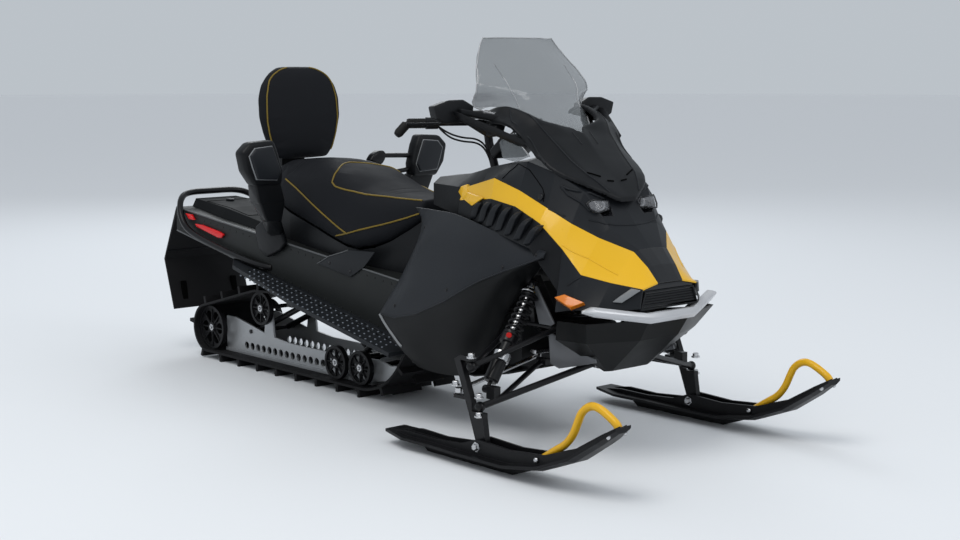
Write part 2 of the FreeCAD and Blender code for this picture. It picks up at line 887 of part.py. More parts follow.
def bumper_ring(station, side, tall, deep):
    """An upright ring across the bumper, bevelled above and below its flat face."""
    low = size.bumper_level - size.bumper_height * tall / 2
    high = size.bumper_level + size.bumper_height * tall / 2
    thick = size.bumper_thickness * deep
    return [point(station - thick, side, low), point(station - thick * 0.25, side, low),
            point(station, side, low + (high - low) * 0.3), point(station, side, low + (high - low) * 0.55),
            point(station - thick * 0.4, side, high), point(station - thick, side, high)]


def bumper_bar():
    """The bumper as one bar with flat runs between its two bends and two tapered ends."""
    front = size.bumper_front_station
    run = size.bumper_end_side - size.bumper_bend_side
    fall = front - size.bumper_end_station
    tall, deep = bumper_end_shares
    start = size.bumper_bend_side + run * bumper_taper_share
    taper = front - fall * bumper_taper_share
    half = [bumper_ring(size.bumper_end_station, -size.bumper_end_side, tall, deep),
            bumper_ring(taper, -start, 1.0, 1.0), bumper_ring(front, -size.bumper_bend_side, 1.0, 1.0)]
    return ruled_loft(half + [mirrored_line(ring) for ring in half[::-1]])


# Front frame: a hollow casting with an upright plate that reaches out to the shock tops
def make_bulkhead():
    rear = size.bulkhead_rear_station
    front = size.bulkhead_front_station
    half = size.bulkhead_half_width
    wall = size.bulkhead_wall
    low = size.bulkhead_low_level
    top = size.bulkhead_top_level
    shell = slab([(rear, low), (front, low + wall * 2), (front, low + wall * 7), (rear + wall * 12, top),
                  (rear, top)], -half, half)
    core = slab([(rear + wall, low + wall), (front - wall, low + wall * 3),
                 (front - wall, low + wall * 6), (rear + wall * 11, top - wall),
                 (rear + wall, top - wall)], -half - wall, half + wall)
    rib = block(rear, front - wall, -wall / 2, wall / 2, low + wall, low + wall * 6)
    reach = size.tower_half_width
    top_level = size.tower_top_level
    tower = plate([
        point(rear, -half, low), point(rear, -half - wall * 2, top - wall * 6),
        point(rear, -reach, top + wall), point(rear, -reach - wall * 3, top_level - wall * 3),
        point(rear, -reach - wall * 2, top_level), point(rear, -reach + wall * 3, top_level),
        point(rear, -half, top + wall * 7), point(rear, 0, top + wall * 4),
        point(rear, half, top + wall * 7), point(rear, reach - wall * 3, top_level),
        point(rear, reach + wall * 2, top_level), point(rear, reach + wall * 3, top_level - wall * 3),
        point(rear, reach, top + wall), point(rear, half + wall * 2, top - wall * 6),
        point(rear, half, low)], Vector(float(size.tower_thickness), 0, 0))
    pocket_low = plate([
        point(rear, -half + wall * 3, low + wall * 3), point(rear, -half + wall * 3, top - wall * 3),
        point(rear, half - wall * 3, top - wall * 3), point(rear, half - wall * 3, low + wall * 3)],
        Vector(float(size.tower_thickness), 0, 0))
    frame = fused([shell.cut(core), rib, tower]).cut(pocket_low)
    ears = right_ears() + right_tubes()
    bare = fused([frame, link_guide()] + ears + [left_of(ear) for ear in ears])
    shape_node("bulkhead", bare.cut(bumper_bar()))


def right_ears():
    """Pivot pins of the right-hand arms and shock, with the ears that carry them."""
    pin = size.pivot_pin_radius
    reach = size.pivot_half_length + size.axle_gap * 10
    ear = size.ear_thickness
    half = size.bulkhead_half_width
    side = size.upper_arm_inner_side
    level = size.upper_arm_inner_level
    parts = [rod(point(size.upper_arm_rear_station - reach, -side, level),
                 point(size.upper_arm_front_station + reach, -side, level), pin)]
    ear_station = size.upper_arm_front_station - reach - ear
    parts.append(plate([
        point(ear_station, -half + ear, size.bulkhead_low_level + ear * 3),
        point(ear_station, -side - ear, level - ear), point(ear_station, -side - ear, level + ear),
        point(ear_station, -side + ear, level + ear), point(ear_station, -half + ear, level - ear * 3)],
        Vector(float(ear), 0, 0)))
    side = size.lower_arm_front_side
    level = size.lower_arm_front_level
    ear_station = size.lower_arm_front_station - reach - ear
    parts.append(block(ear_station, ear_station + ear, -side - ear, -half + ear, level - ear, level + ear))
    parts.append(rod(point(ear_station, -side, level),
                     point(size.lower_arm_front_station + reach, -side, level), pin))
    side = size.lower_arm_rear_side
    level = size.lower_arm_rear_level
    ear_station = size.lower_arm_rear_station + reach
    parts.append(block(ear_station, ear_station + ear, -side - ear, -half + ear, level - ear, level + ear))
    parts.append(rod(point(size.lower_arm_rear_station - reach, -side, level),
                     point(ear_station + ear, -side, level), pin))
    top, foot = shock_ends()
    eye = Vector(float(size.shock_eye_width / 2 + size.axle_gap * 10), 0, 0)
    parts.append(rod(top - eye - Vector(float(size.tower_thickness) / 2, 0, 0), top + eye,
                     size.shock_pin_radius))
    return parts


def right_tubes():
    """The right-hand tube back to the tunnel and the right-hand arm that carries the bumper."""
    level = size.frame_tube_level
    back = rod(point(size.bulkhead_rear_station, -size.frame_tube_side, level),
               point(size.tunnel_front_station + size.board_gap,
                     -size.tunnel_half_width + size.tunnel_sheet, level), size.frame_tube_radius)
    side = size.bumper_arm_side
    ahead = rod(point(size.bulkhead_rear_station, -side, size.bulkhead_top_level + size.bulkhead_wall * 3),
                point(size.bumper_front_station - size.bumper_thickness - size.board_gap,
                      -side, size.bumper_level), size.bumper_arm_radius)
    return [back, ahead]


def link_guide():
    """Two jaws behind the frame that the centre link slides between."""
    rear = size.tie_rod_inner_station
    step = size.tie_rod_inner_station + size.link_width / 2 - size.tie_rod_gap + size.axle_gap
    low = size.tie_rod_inner_level + size.tie_rod_radius
    jaw = size.link_thickness / 2
    half = size.guide_half_width
    solid = block(rear, size.bulkhead_rear_station + size.bulkhead_wall, -half, half,
                  low - jaw, low + size.link_thickness + jaw)
    slot = block(rear - jaw, step, -half * 2, half * 2,
                 low - size.axle_gap, low + size.link_thickness + size.axle_gap)
    return solid.cut(slot)


# Kingpin line of a spindle, and the levels that hang on it
def kingpin_station(level):
    """Station of the kingpin axis at a level."""
    rise = size.kingpin_high_level - size.kingpin_low_level
    run = size.kingpin_high_station - size.kingpin_low_station
    share = float(level - size.kingpin_low_level) / float(rise)
    return size.kingpin_low_station + run * share


def ball_levels():
    """Levels of the middle of the lower and the upper arm's ball housings."""
    offset = size.spindle_eye_height / 2 + size.ball_gap + size.ball_radius
    return size.kingpin_low_level + offset, size.kingpin_high_level - offset


def pivot_tube(pivot):
    """An arm's pivot tube and the bore for its pin, both along X."""
    half = Vector(float(size.pivot_half_length), 0, 0)
    tube = rod(pivot - half, pivot + half, size.pivot_radius)
    bore = rod(pivot - half * 2, pivot + half * 2, size.pivot_pin_radius + size.axle_gap)
    return tube, bore


# Share of the front lower tube at which the rear one joins it
arm_joint_share = 0.84


def make_arms():
    side = -size.ski_side
    low_ball, high_ball = ball_levels()
    high_axis = point(kingpin_station(high_ball), side, high_ball)
    low_axis = point(kingpin_station(low_ball), side, low_ball)
    upper = [Part.makeSphere(float(size.ball_radius), high_axis)]
    bores = []
    for station in (size.upper_arm_front_station, size.upper_arm_rear_station):
        pivot = point(station, -size.upper_arm_inner_side, size.upper_arm_inner_level)
        upper.append(rod(high_axis, pivot, size.arm_tube_radius))
        tube, bore = pivot_tube(pivot)
        upper.append(tube)
        bores.append(bore)
    shape_node("upper_arms", both_sides(fused(upper).cut(bores)))
    front = point(size.lower_arm_front_station, -size.lower_arm_front_side,
                  size.lower_arm_front_level)
    rear = point(size.lower_arm_rear_station, -size.lower_arm_rear_side,
                 size.lower_arm_rear_level)
    joint = front + (low_axis - front) * arm_joint_share
    lower = [Part.makeSphere(float(size.ball_radius), low_axis),
             rod(low_axis, front, size.arm_tube_radius * 1.2),
             rod(joint, rear, size.arm_tube_radius)]
    bores = []
    for pivot in (front, rear):
        tube, bore = pivot_tube(pivot)
        lower.append(tube)
        bores.append(bore)
    top, foot = shock_ends()
    face = foot.x + float(size.shock_eye_width / 2 + size.axle_gap)
    half = size.shock_eye_radius
    lower.append(block(face, joint.x, foot.y - float(half), foot.y + float(half),
                       joint.z, foot.z + float(half)))
    reach = Vector(float(size.shock_eye_width / 2 + size.axle_gap * 10), 0, 0)
    lower.append(rod(foot - reach, foot + reach, size.shock_pin_radius))
    shape_node("lower_arms", both_sides(fused(lower).cut(bores)))


def shock_ends():
    """Top and foot of the right-hand front shock."""
    station = (size.bulkhead_rear_station + size.tower_thickness + size.axle_gap
               + size.shock_eye_width / 2)
    top = point(station, -size.shock_top_side, size.shock_top_level)
    foot = point(size.shock_foot_station, -size.shock_foot_side, size.shock_foot_level)
    return top, foot


# Where the coil starts and how far it reaches, as shares of the shock's length
coil_start_share = 0.14
coil_length_share = 0.34


def make_shocks():
    top, foot = shock_ends()
    run = foot - top
    along = Vector(run).normalize()
    start = top + run * coil_start_share
    end = start + run * coil_length_share
    seat = along * float(size.spring_wire_radius + size.axle_gap)
    collar = along * float(size.spring_collar_thickness)
    parts = [rod(top, end, size.shock_rod_radius),
             rod(end + seat, foot - along * float(size.shock_eye_radius * 2), size.shock_body_radius),
             rod(end + seat, foot, size.shock_rod_radius),
             rod(start - seat - collar, start - seat, size.spring_collar_radius),
             rod(end + seat, end + seat + collar, size.spring_collar_radius),
             rod(end, end + seat * 2, size.shock_rod_radius)]
    eye = Vector(float(size.shock_eye_width) / 2, 0, 0)
    parts.append(rod(foot - eye, foot + eye, size.shock_eye_radius))
    parts.append(rod(top - eye, top + eye, size.shock_eye_radius))
    bores = [rod(spot - eye * 2, spot + eye * 2, size.shock_pin_radius + size.axle_gap)
             for spot in (top, foot)]
    shape_node("front_shocks", both_sides(fused(parts).cut(bores)))


def make_spring():
    top, foot = shock_ends()
    run = foot - top
    length = run.Length * coil_length_share
    pitch = length / SPRING_TURNS
    helix = Part.makeHelix(pitch, length, float(size.spring_radius))
    section = Part.Wire(Part.makeCircle(
        float(size.spring_wire_radius), Vector(float(size.spring_radius), 0, 0), Vector(0, 1, 0)))
    coil = Part.Wire(helix).makePipeShell([section], True, True)
    direction = Rotation(Vector(0, 0, 1), run)
    coil.Placement = Placement(top + run * coil_start_share, direction)
    shape_node("front_springs", both_sides(coil))


# Spindles: a curved blade behind the ball joints, with a leg down into the ski
def make_spindle(name, mirrored):
    side = size.ski_side
    low = size.kingpin_low_level
    high = size.kingpin_high_level
    eye = size.spindle_eye_height / 2
    clear = size.ball_radius + size.spindle_clearance
    blade = size.spindle_blade_width
    bolt = size.ski_bolt_level
    high_x = size.kingpin_high_station
    low_x = size.kingpin_low_station
    corners = [
        (high_x + size.ball_radius, high - eye), (high_x + size.ball_radius, high + eye),
        (high_x - clear, high + eye), (high_x - clear - blade, high - eye),
        (low_x - clear - blade, low + size.ball_radius * 2), (low_x - clear - blade / 2, low),
        (size.ski_bolt_station - blade * 0.8, bolt),
        (size.ski_bolt_station - blade * 0.5, bolt - size.ski_bolt_radius * 2),
        (size.ski_bolt_station + blade * 0.5, bolt - size.ski_bolt_radius * 2),
        (size.ski_bolt_station + blade * 0.8, bolt), (low_x + size.ball_radius, low - eye),
        (low_x + size.ball_radius, low + eye), (low_x - clear, low + eye),
        (low_x - clear, low + size.ball_radius * 2), (high_x - clear, high - eye)]
    half = size.spindle_thickness / 2
    blade_solid = slab(corners, -side - half, -side + half)
    bore = rod(point(size.ski_bolt_station, -side - half * 2, bolt),
               point(size.ski_bolt_station, -side + half * 2, bolt),
               size.ski_bolt_radius + size.axle_gap)
    arm_low = size.steer_arm_level
    root = kingpin_station(arm_low)
    arm = block(root - size.steer_arm_length - size.ball_radius, root - clear - blade / 2,
                -side - half, -side + half, arm_low, arm_low + size.steer_arm_thickness)
    shape = fused([blade_solid, arm]).cut(bore)
    shape_node(name, left_of(shape) if mirrored else shape)


# Skis: a sole that sweeps up to the tip, two walls with the bolt between them, and a keel
def ski_line():
    """Stations and levels of the sole's underside from the tail to the tip, and wall heights."""
    tail = size.ski_tail_station
    bolt = size.ski_bolt_station
    tip = size.ski_tip_station
    sole = size.ski_sole_level
    rise = size.ski_tip_level
    wall = size.ski_wall_height
    return [
        (tail, sole + wall * 0.12, wall * 0.18, 0.62),
        (tail + (bolt - tail) * 0.25, sole + wall * 0.02, wall * 0.5, 1.0),
        (tail + (bolt - tail) * 0.55, sole, wall * 0.48, 0.9),
        (bolt - wall * 1.1, sole, wall * 0.62, 1.0),
        (bolt, sole, wall, 1.0),
        (bolt + wall * 2.2, sole, wall * 0.9, 1.0),
        (bolt + (tip - bolt) * 0.5, sole + wall * 0.35, wall * 0.72, 1.0),
        (bolt + (tip - bolt) * 0.72, sole + rise * 0.34, wall * 0.6, 0.95),
        (bolt + (tip - bolt) * 0.9, sole + rise * 0.66, wall * 0.5, 0.8),
        (tip, rise - wall * 0.1, wall * 0.32, 0.5)]


def make_ski(name, mirrored):
    side = -size.ski_side
    half = size.ski_half_width
    skin = size.ski_sole_thickness
    wall = size.ski_wall_thickness
    channel = size.ski_channel_half
    sole_rings = []
    wall_rings = [[], []]
    for station, low, height, spread in ski_line():
        edge = half * spread
        sole_rings.append([
            point(station, side - edge, low + skin), point(station, side - edge * 0.45, low),
            point(station, side + edge * 0.45, low), point(station, side + edge, low + skin),
            point(station, side + edge, low + skin * 2), point(station, side - edge, low + skin * 2)])
        for index, sign in enumerate((-1, 1)):
            inner = channel * spread * sign
            outer = (channel + wall) * spread * sign
            wall_rings[index].append([
                point(station, side + inner, low + skin), point(station, side + outer, low + skin),
                point(station, side + outer, low + height), point(station, side + inner, low + height)])
    parts = [ruled_loft(sole_rings)]
    for rings in wall_rings:
        parts.append(ruled_loft(rings))
    keel_low = size.ski_sole_level
    bolt = size.ski_bolt_station
    parts.append(slab([
        (size.keel_start - keel_low * 2, keel_low + skin), (size.keel_start, 0),
        (size.keel_end, 0), (bolt + (size.ski_tip_station - bolt) * 0.5, keel_low + skin * 3.5),
        (size.keel_end, keel_low + skin)],
        side - size.keel_half_width, side + size.keel_half_width))
    pin_reach = channel + wall * 2
    parts.append(rod(point(bolt, side - pin_reach, size.ski_bolt_level),
                     point(bolt, side + pin_reach, size.ski_bolt_level), size.ski_bolt_radius))
    shape = fused(parts)
    shape_node(name, left_of(shape) if mirrored else shape)
    return shape


def make_ski_loop(name, mirrored, ski):
    side = -size.ski_side
    base = point(size.ski_loop_base_station, side, size.ski_loop_base_level)
    knee = point(size.ski_loop_base_station + (size.ski_loop_top_station
                 - size.ski_loop_base_station) * 0.55, side,
                 size.ski_loop_base_level + size.ski_loop_bend * 2)
    top = point(size.ski_loop_top_station, side, size.ski_loop_top_level)
    front = point(size.ski_loop_front_station, side, size.ski_loop_front_level)
    end = point(size.ski_loop_front_station - size.ski_loop_bend * 0.7, side,
                size.ski_loop_front_level - size.ski_loop_bend)
    loop = bent_tube([base, knee, top, front], size.ski_loop_radius, size.ski_loop_bend)
    loop = fused([loop, rod(front, end, size.ski_loop_radius)]).cut(ski)
    loop = max(loop.Solids, key=lambda piece: piece.Volume)
    shape_node(name, left_of(loop) if mirrored else loop)


# Tie rods and the centre link that pushes them
def make_tie_rods():
    side = size.ski_side
    root = kingpin_station(size.steer_arm_level)
    eye_level = size.steer_arm_level + size.steer_arm_thickness + size.tie_rod_gap
    eye = point(root - size.steer_arm_length, -side, eye_level + size.tie_rod_radius)
    inner = point(size.tie_rod_inner_station, -size.tie_rod_inner_side, size.tie_rod_inner_level)
    up = Vector(0, 0, float(size.tie_rod_radius))
    shape = fused([rod(eye, inner, size.tie_rod_radius),
                   rod(eye - up, eye + up, size.ball_radius * 0.8),
                   rod(inner - up, inner + up, size.ball_radius * 0.8)])
    shape_node("tie_rods", both_sides(shape))
    half = size.tie_rod_inner_side + size.link_width / 2
    level = size.tie_rod_inner_level + size.tie_rod_radius
    link = block(size.tie_rod_inner_station - size.link_width / 2,
                 size.tie_rod_inner_station + size.link_width / 2 - size.tie_rod_gap,
                 -half, half, level, level + size.link_thickness)
    shape_node("centre_link", link)


make_bulkhead()
make_arms()
make_shocks()
make_spring()
for hand, is_left in (("right", False), ("left", True)):
    make_spindle("spindle_" + hand, is_left)
    ski_shape = make_ski("ski_" + hand, is_left)
    make_ski_loop("ski_loop_" + hand, is_left, ski_shape)
make_tie_rods()


# Bonnet: each row is a station share, then the side and level shares of five lines on the body:
# crown, shoulder, upper edge and foot of the coloured panel, and sill
bonnet_shares = [
    (0.0, (0.0, 0.811), (0.364, 0.792), (0.561, 0.726), (0.621, 0.642), (0.65, 0.54)),
    (0.256, (0.0, 0.943), (0.455, 0.915), (0.712, 0.821), (0.758, 0.683), (0.84, 0.49)),
    (0.419, (0.0, 1.028), (0.621, 0.943), (0.742, 0.755), (0.803, 0.651), (0.93, 0.452)),
    (0.581, (0.0, 0.925), (0.621, 0.877), (0.758, 0.66), (0.864, 0.566), (1.01, 0.41)),
    (0.686, (0.0, 0.755), (0.485, 0.764), (0.667, 0.566), (0.8, 0.408), (0.825, 0.113)),
    (0.779, (0.0, 0.566), (0.364, 0.538), (0.515, 0.481), (0.776, 0.258), (0.93, 0.045)),
    (0.872, (0.0, 0.406), (0.182, 0.402), (0.252, 0.392), (0.597, 0.213), (0.794, 0.047)),
    (0.932, (0.0, 0.31), (0.15, 0.306), (0.212, 0.3), (0.476, 0.191), (0.606, 0.047)),
    (0.977, (0.0, 0.212), (0.13, 0.212), (0.188, 0.208), (0.418, 0.179), (0.455, 0.057))]


def on_body(along, across, up):
    """A point from its shares of the bonnet's length, half width to the right, and height."""
    return point(size.body_rear_station + size.body_length * along, -size.body_half_width * across,
                 size.body_low_level + size.body_height * up)


def bonnet_line(row):
    """Points of one row of the bonnet on all its lines, on the right-hand side from the crown."""
    return [on_body(row[0], side_share, level_share) for side_share, level_share in row[1:]]


def inset(line):
    """The points of a line across the right-hand side, mitred inwards by the panel's thickness."""
    whole = [mirrored_line(line)[1]] + line
    moved = []
    for index in range(1, len(whole)):
        before = (whole[index] - whole[index - 1]).normalize()
        after = before
        if index + 1 < len(whole):
            after = (whole[index + 1] - whole[index]).normalize()
        first = Vector(0, -before.z, before.y)
        second = Vector(0, -after.z, after.y)
        miter = (first + second).normalize()
        reach = float(size.panel_thickness) / miter.dot(first)
        moved.append(whole[index] + miter * reach)
    return moved


def trimmed(line, first, last):
    """Some points of a line, drawn in by the panel gap at each end that isn't on the crown."""
    part = line[first:last + 1]
    gap = float(size.panel_gap)
    if first > 0:
        part[0] = part[0] + (part[1] - part[0]).normalize() * gap
    part[-1] = part[-1] + (part[-2] - part[-1]).normalize() * gap
    return part


def strip(rows, first, last):
    """A panel between two of the bonnet's lines, along some of its rows."""
    rings = []
    for row in rows:
        line = bonnet_line(row)
        rings.append(trimmed(line, first, last) + trimmed(inset(line), first, last)[::-1])
    return ruled_loft(rings)


def crown_strip(rows, last):
    """A panel from side to side across the crown, along some of the bonnet's rows."""
    rings = []
    for row in rows:
        line = bonnet_line(row)
        outer = trimmed(line, 0, last)
        inner = trimmed(inset(line), 0, last)
        rings.append(outer[::-1] + mirrored_line(outer[1:])
                     + mirrored_line(inner)[::-1] + inner[1:])
    return ruled_loft(rings)


def row_shifted(row, distance):
    """A row of the bonnet moved along it by a distance."""
    return (row[0] + float(distance) / float(size.body_length),) + tuple(row[1:])


# Headlamp: where its lens stands on the body, and shares of its width and height at the rear,
# at the lens and at the mouth of its scoop
lamp_place_shares = (0.7, 0.315, 0.6566)
lamp_shares = (0.8, 1.0, 1.35)


def lamp_ring(ahead, half_width, half_height):
    """A six-cornered ring round the right-hand headlamp's axis, some way ahead of its lens."""
    lens = on_body(*lamp_place_shares)
    station = ahead + lens.x
    side = -half_width * 0 + lens.y
    level = half_width * 0 + lens.z
    inner = half_width * 0.6
    outer = half_width * 0.7
    return [point(station, side - half_width, level), point(station, side - inner, level - half_height),
            point(station, side + outer, level - half_height), point(station, side + half_width, level),
            point(station, side + outer, level + half_height), point(station, side - inner, level + half_height)]


def lamp_bucket(extra):
    """The right-hand headlamp and its scoop as one block, grown on every side by a clearance."""
    reaches = (-size.lamp_depth - extra, size.lamp_depth * 0, size.lamp_scoop_depth)
    return ruled_loft([
        lamp_ring(ahead, size.lamp_width / 2 * share + extra, size.lamp_height / 2 * share + extra)
        for ahead, share in zip(reaches, lamp_shares)])


def lamp_recess():
    """The open scoop ahead of the right-hand lens."""
    wall = size.panel_thickness / 2
    reaches = (size.lamp_depth * 0, size.lamp_scoop_depth)
    return ruled_loft([
        lamp_ring(ahead, size.lamp_width / 2 * share - wall, size.lamp_height / 2 * share - wall)
        for ahead, share in zip(reaches, lamp_shares[1:])])


# The low rear corner of the nose's side, as shares of the bonnet's half width and height
nose_corner_shares = (0.9, 0.01)


def make_bonnet():
    rows = bonnet_shares
    cowl = crown_strip(rows[1:7], 2)
    hollow = lamp_bucket(size.panel_gap)
    shape_node("cowl", cowl.cut([hollow, left_of(hollow)]))
    nose_rows = [row_shifted(rows[6], size.panel_gap)] + rows[7:]
    shape_node("nose_cover", crown_strip(nose_rows, 2))
    panel = strip(rows, 2, 3)
    shape_node("hood_panels", both_sides(panel))
    side_rows = [row_shifted(rows[4], size.panel_gap)[:-1] + (nose_corner_shares,)] + rows[5:]
    shape_node("nose_sides", both_sides(strip(side_rows, 3, 4)))
    shape_node("side_vents", both_sides(strip(rows[:5], 3, 4)))
    lamp = lamp_bucket(size.panel_gap * 0).common(cowl_block()).cut(lamp_recess())
    shape_node("headlamps", both_sides(lamp))


# Windshield base: a deflector in two lobes that meet below the windshield in a point. Its place is
# given by shares of the bonnet's length, half width and height: rear low corner, then its extent
base_place_shares = (0.163, 0.717)
base_extent_shares = (0.587, 0.667, 0.594)
base_shares = [
    (0.0, (0.909, 0.889), (0.8, 0.905), (0.75, 0.889)),
    (0.158, (0.98, 0.825), (0.73, 0.984), (0.64, 0.965)),
    (0.376, (1.0, 0.762), (0.61, 0.857), (0.45, 0.825)),
    (0.554, (1.0, 0.46), (0.57, 0.635), (0.0, 0.695)),
    (0.713, (0.955, 0.302), (0.545, 0.413), (0.0, 0.444)),
    (0.891, (0.68, 0.159), (0.455, 0.19), (0.0, 0.175)),
    (1.0, (0.2, 0.0), (0.1, 0.003), (0.0, 0.003))]


def make_windshield_base():
    rings = []
    rear, low = base_place_shares
    length, wide, tall = base_extent_shares
    for row in finer(base_shares, 3):
        line = [on_body(rear + length * row[0], wide * side, low + tall * level) for side, level in row[1:]]
        under = [spot - Vector(0, 0, float(size.base_depth)) for spot in line]
        rings.append(line + under[::-1])
    half = ruled_loft(rings)
    base = fused([half, left_of(half)]).cut(cowl_block())
    return max(base.Solids, key=lambda piece: piece.Volume)


def cowl_block():
    """The space that the cowl covers, as one solid down to the sill."""
    rings = []
    for row in bonnet_shares[1:7]:
        line = bonnet_line(row)[:4]
        rings.append(line[::-1] + mirrored_line(line[1:]))
    return ruled_loft(rings)


# Windshield: a clear screen, wrapped round at its foot and nearly flat at its top. Its foot and its
# top edge are at shares of the bonnet's length and height, and so are its half width and its wrap
screen_foot_shares = (0.444, 1.113)
screen_top_shares = (0.114, 1.751)
screen_half_share = 0.721
screen_wrap_share = 0.205
screen_shares = [
    (0.0, 0.0, 0.22, 0.10),
    (0.13, 0.12, 0.38, 0.34),
    (0.281, 0.27, 0.82, 0.9),
    (0.44, 0.42, 1.0, 0.86),
    (0.69, 0.67, 0.95, 0.55),
    (1.0, 1.0, 0.72, 0.06)]


def make_windshield():
    rings = []
    foot, low = screen_foot_shares
    top, high = screen_top_shares
    steps = (-1, -0.83, -0.66, -0.5, -0.33, -0.16, 0, 0.16, 0.33, 0.5, 0.66, 0.83, 1)
    for level_share, lean_share, half_share, wrap_share in finer(screen_shares, 3):
        along = foot + (top - foot) * lean_share
        outer = [on_body(along - screen_wrap_share * wrap_share * step * step,
                         screen_half_share * half_share * step, low + (high - low) * level_share)
                 for step in steps]
        inner = [spot - Vector(float(size.screen_thickness), 0, 0) for spot in outer]
        rings.append(outer + inner[::-1])
    return ruled_loft(rings)


def make_screen_parts():
    base = make_windshield_base()
    shape_node("windshield_base", base)
    shape_node("windshield", make_windshield().cut(base))
    return base


# Belly pan: a scoop below the bumper. Each row is a level share, then the station and side
# shares of its front edge, its corner and its rear edge
belly_shares = [
    (1.0, (1.0, 0.3), (0.62, 0.94), (0.08, 1.0)),
    (0.62, (0.78, 0.28), (0.42, 0.8), (-0.2, 0.85)),
    (0.0, (0.14, 0.26), (0.1, 0.31), (0.07, 0.33))]


def belly_ring(row, level, wall, overrun):
    """One level ring of the belly pan, drawn in by a wall and run out behind."""
    run = size.belly_front_station - size.belly_rear_station
    spots = []
    for along, across in row[1:]:
        spots.append((size.belly_rear_station + run * along - wall,
                      size.belly_half_width * across - wall))
    spots[-1] = (spots[-1][0] - overrun, spots[-1][1])
    right = [point(station, -side, level) for station, side in spots]
    other = [point(station, side, level) for station, side in spots[::-1]]
    return right + other


def make_belly_pan():
    top = size.bumper_level - size.bumper_height / 2 - size.panel_gap * 2
    height = top - size.belly_low_level
    wall = size.panel_thickness
    outer = []
    inner = []
    for row in belly_shares:
        level = size.belly_low_level + height * row[0]
        outer.append(belly_ring(row, level, wall * 0, wall * 0))
        lift = wall if row is not belly_shares[0] else wall * 0
        inner.append(belly_ring(row, level + lift, wall, wall * 2))
    shape_node("belly_pan", ruled_loft(outer).cut(ruled_loft(inner)))


# Grille: a shallow frame with level bars, and the bumper ahead of it
def make_grille():
    row = bonnet_line(bonnet_shares[-1])
    wall = size.panel_thickness
    gap = size.panel_gap
    front = size.body_rear_station + size.body_length * bonnet_shares[-1][0] - gap
    top = wall * -2 + row[3].z
    low = size.bumper_level + size.bumper_height / 2 + gap * 2
    top_half = wall * -3 - row[3].y
    low_half = wall * -1 - row[4].y

    def opening(trim, ahead):
        """The grille's outline, drawn in by a trim, at some distance ahead of the front."""
        face = front + ahead
        return [point(face, -low_half + trim, low + trim), point(face, low_half - trim, low + trim),
                point(face, top_half - trim, top - trim), point(face, -top_half + trim, top - trim)]

    rear = wall * 0 - size.grille_depth
    frame = ruled_loft([opening(wall * 0, rear), opening(wall * 0, wall * 0)]).cut(
        ruled_loft([opening(wall, rear - wall), opening(wall, wall)]))
    bars = [frame]
    pitch = (top - low - wall * 2) / (GRILLE_BARS + 1)
    for index in range(GRILLE_BARS):
        level = low + wall + pitch * (index + 1)
        share = (index + 1) / (GRILLE_BARS + 1)
        half = low_half + (top_half - low_half) * share - wall / 2
        bars.append(block(front - size.grille_depth, front - wall, -half, half,
                          level - size.grille_bar_height / 2, level + size.grille_bar_height / 2))
    shape_node("grille", fused(bars))


def make_front_bumper():
    shape_node("front_bumper", bumper_bar())


# Side panels: each an upper and a lower face that meet in a long crease. A row gives five points from
# the upper edge to the foot, as shares of the bonnet's length, half width and height
side_panel_shares = [
    ((0.73, 1.139, 0.411), (0.73, 1.158, 0.394), (0.726, 1.164, 0.374),
     (0.719, 1.145, 0.364), (0.712, 1.115, 0.358)),
    ((0.657, 1.097, 0.423), (0.649, 1.152, 0.385), (0.63, 1.167, 0.317),
     (0.619, 1.061, 0.292), (0.605, 0.927, 0.258)),
    ((0.552, 1.052, 0.438), (0.544, 1.127, 0.366), (0.506, 1.164, 0.253),
     (0.463, 1.073, 0.136), (0.416, 0.873, -0.011)),
    ((0.372, 0.948, 0.481), (0.366, 1.067, 0.358), (0.351, 1.164, 0.162),
     (0.312, 1.067, -0.075), (0.258, 0.806, -0.366)),
    ((0.198, 0.848, 0.521), (0.169, 1.018, 0.358), (0.14, 1.164, -0.006),
     (0.145, 1.055, -0.264), (0.163, 0.8, -0.506)),
    ((0.023, 0.758, 0.557), (-0.012, 0.976, 0.34), (-0.047, 1.164, -0.128),
     (-0.009, 1.067, -0.355), (0.06, 0.806, -0.56)),
    ((-0.137, 0.679, 0.56), (-0.157, 0.909, 0.317), (-0.188, 1.161, -0.181),
     (-0.126, 1.103, -0.385), (-0.047, 0.915, -0.551)),
    ((-0.294, 0.621, 0.56), (-0.23, 0.673, 0.368), (-0.299, 1.152, -0.174),
     (-0.219, 1.115, -0.355), (-0.107, 1.0, -0.521))]
sole_side_share = 0.794


def side_panel_line(row):
    """One line down the right-hand side panel, curved in its two faces and sharp at the crease."""
    return [on_body(*shares) for shares in finer(row[:3], 2) + finer(row[2:], 2)[1:]]


def thick_grid(lines, shift):
    """A solid sheet over a grid of points, in flat three-cornered faces, as thick as the shift."""
    skins = []
    for first, second in zip(lines, lines[1:]):
        for index in range(len(first) - 1):
            a, b = first[index:index + 2]
            d, c = second[index:index + 2]
            for near in ([a, b, c], [a, c, d]):
                far = [spot + shift for spot in near]
                skins.append(Part.Face(Part.makePolygon(near + near[:1])))
                skins.append(Part.Face(Part.makePolygon(far + far[:1])))
    rim = lines[0] + [line[-1] for line in lines[1:]] + lines[-1][-2::-1] + [line[0] for line in lines[-2:0:-1]]
    for a, b in zip(rim, rim[1:] + rim[:1]):
        skins.append(Part.Face(Part.makePolygon([a, b, b + shift, a + shift, a])))
    shell = Part.makeShell(skins)
    shell.sewShape()
    solid = Part.makeSolid(shell)
    if solid.Volume < 0:
        solid.reverse()
    return solid


def make_side_panels():
    lines = [side_panel_line(row) for row in finer(side_panel_shares, 3)]
    shape_node("side_panels", both_sides(thick_grid(lines, Vector(0, float(size.side_panel_thickness), 0))))


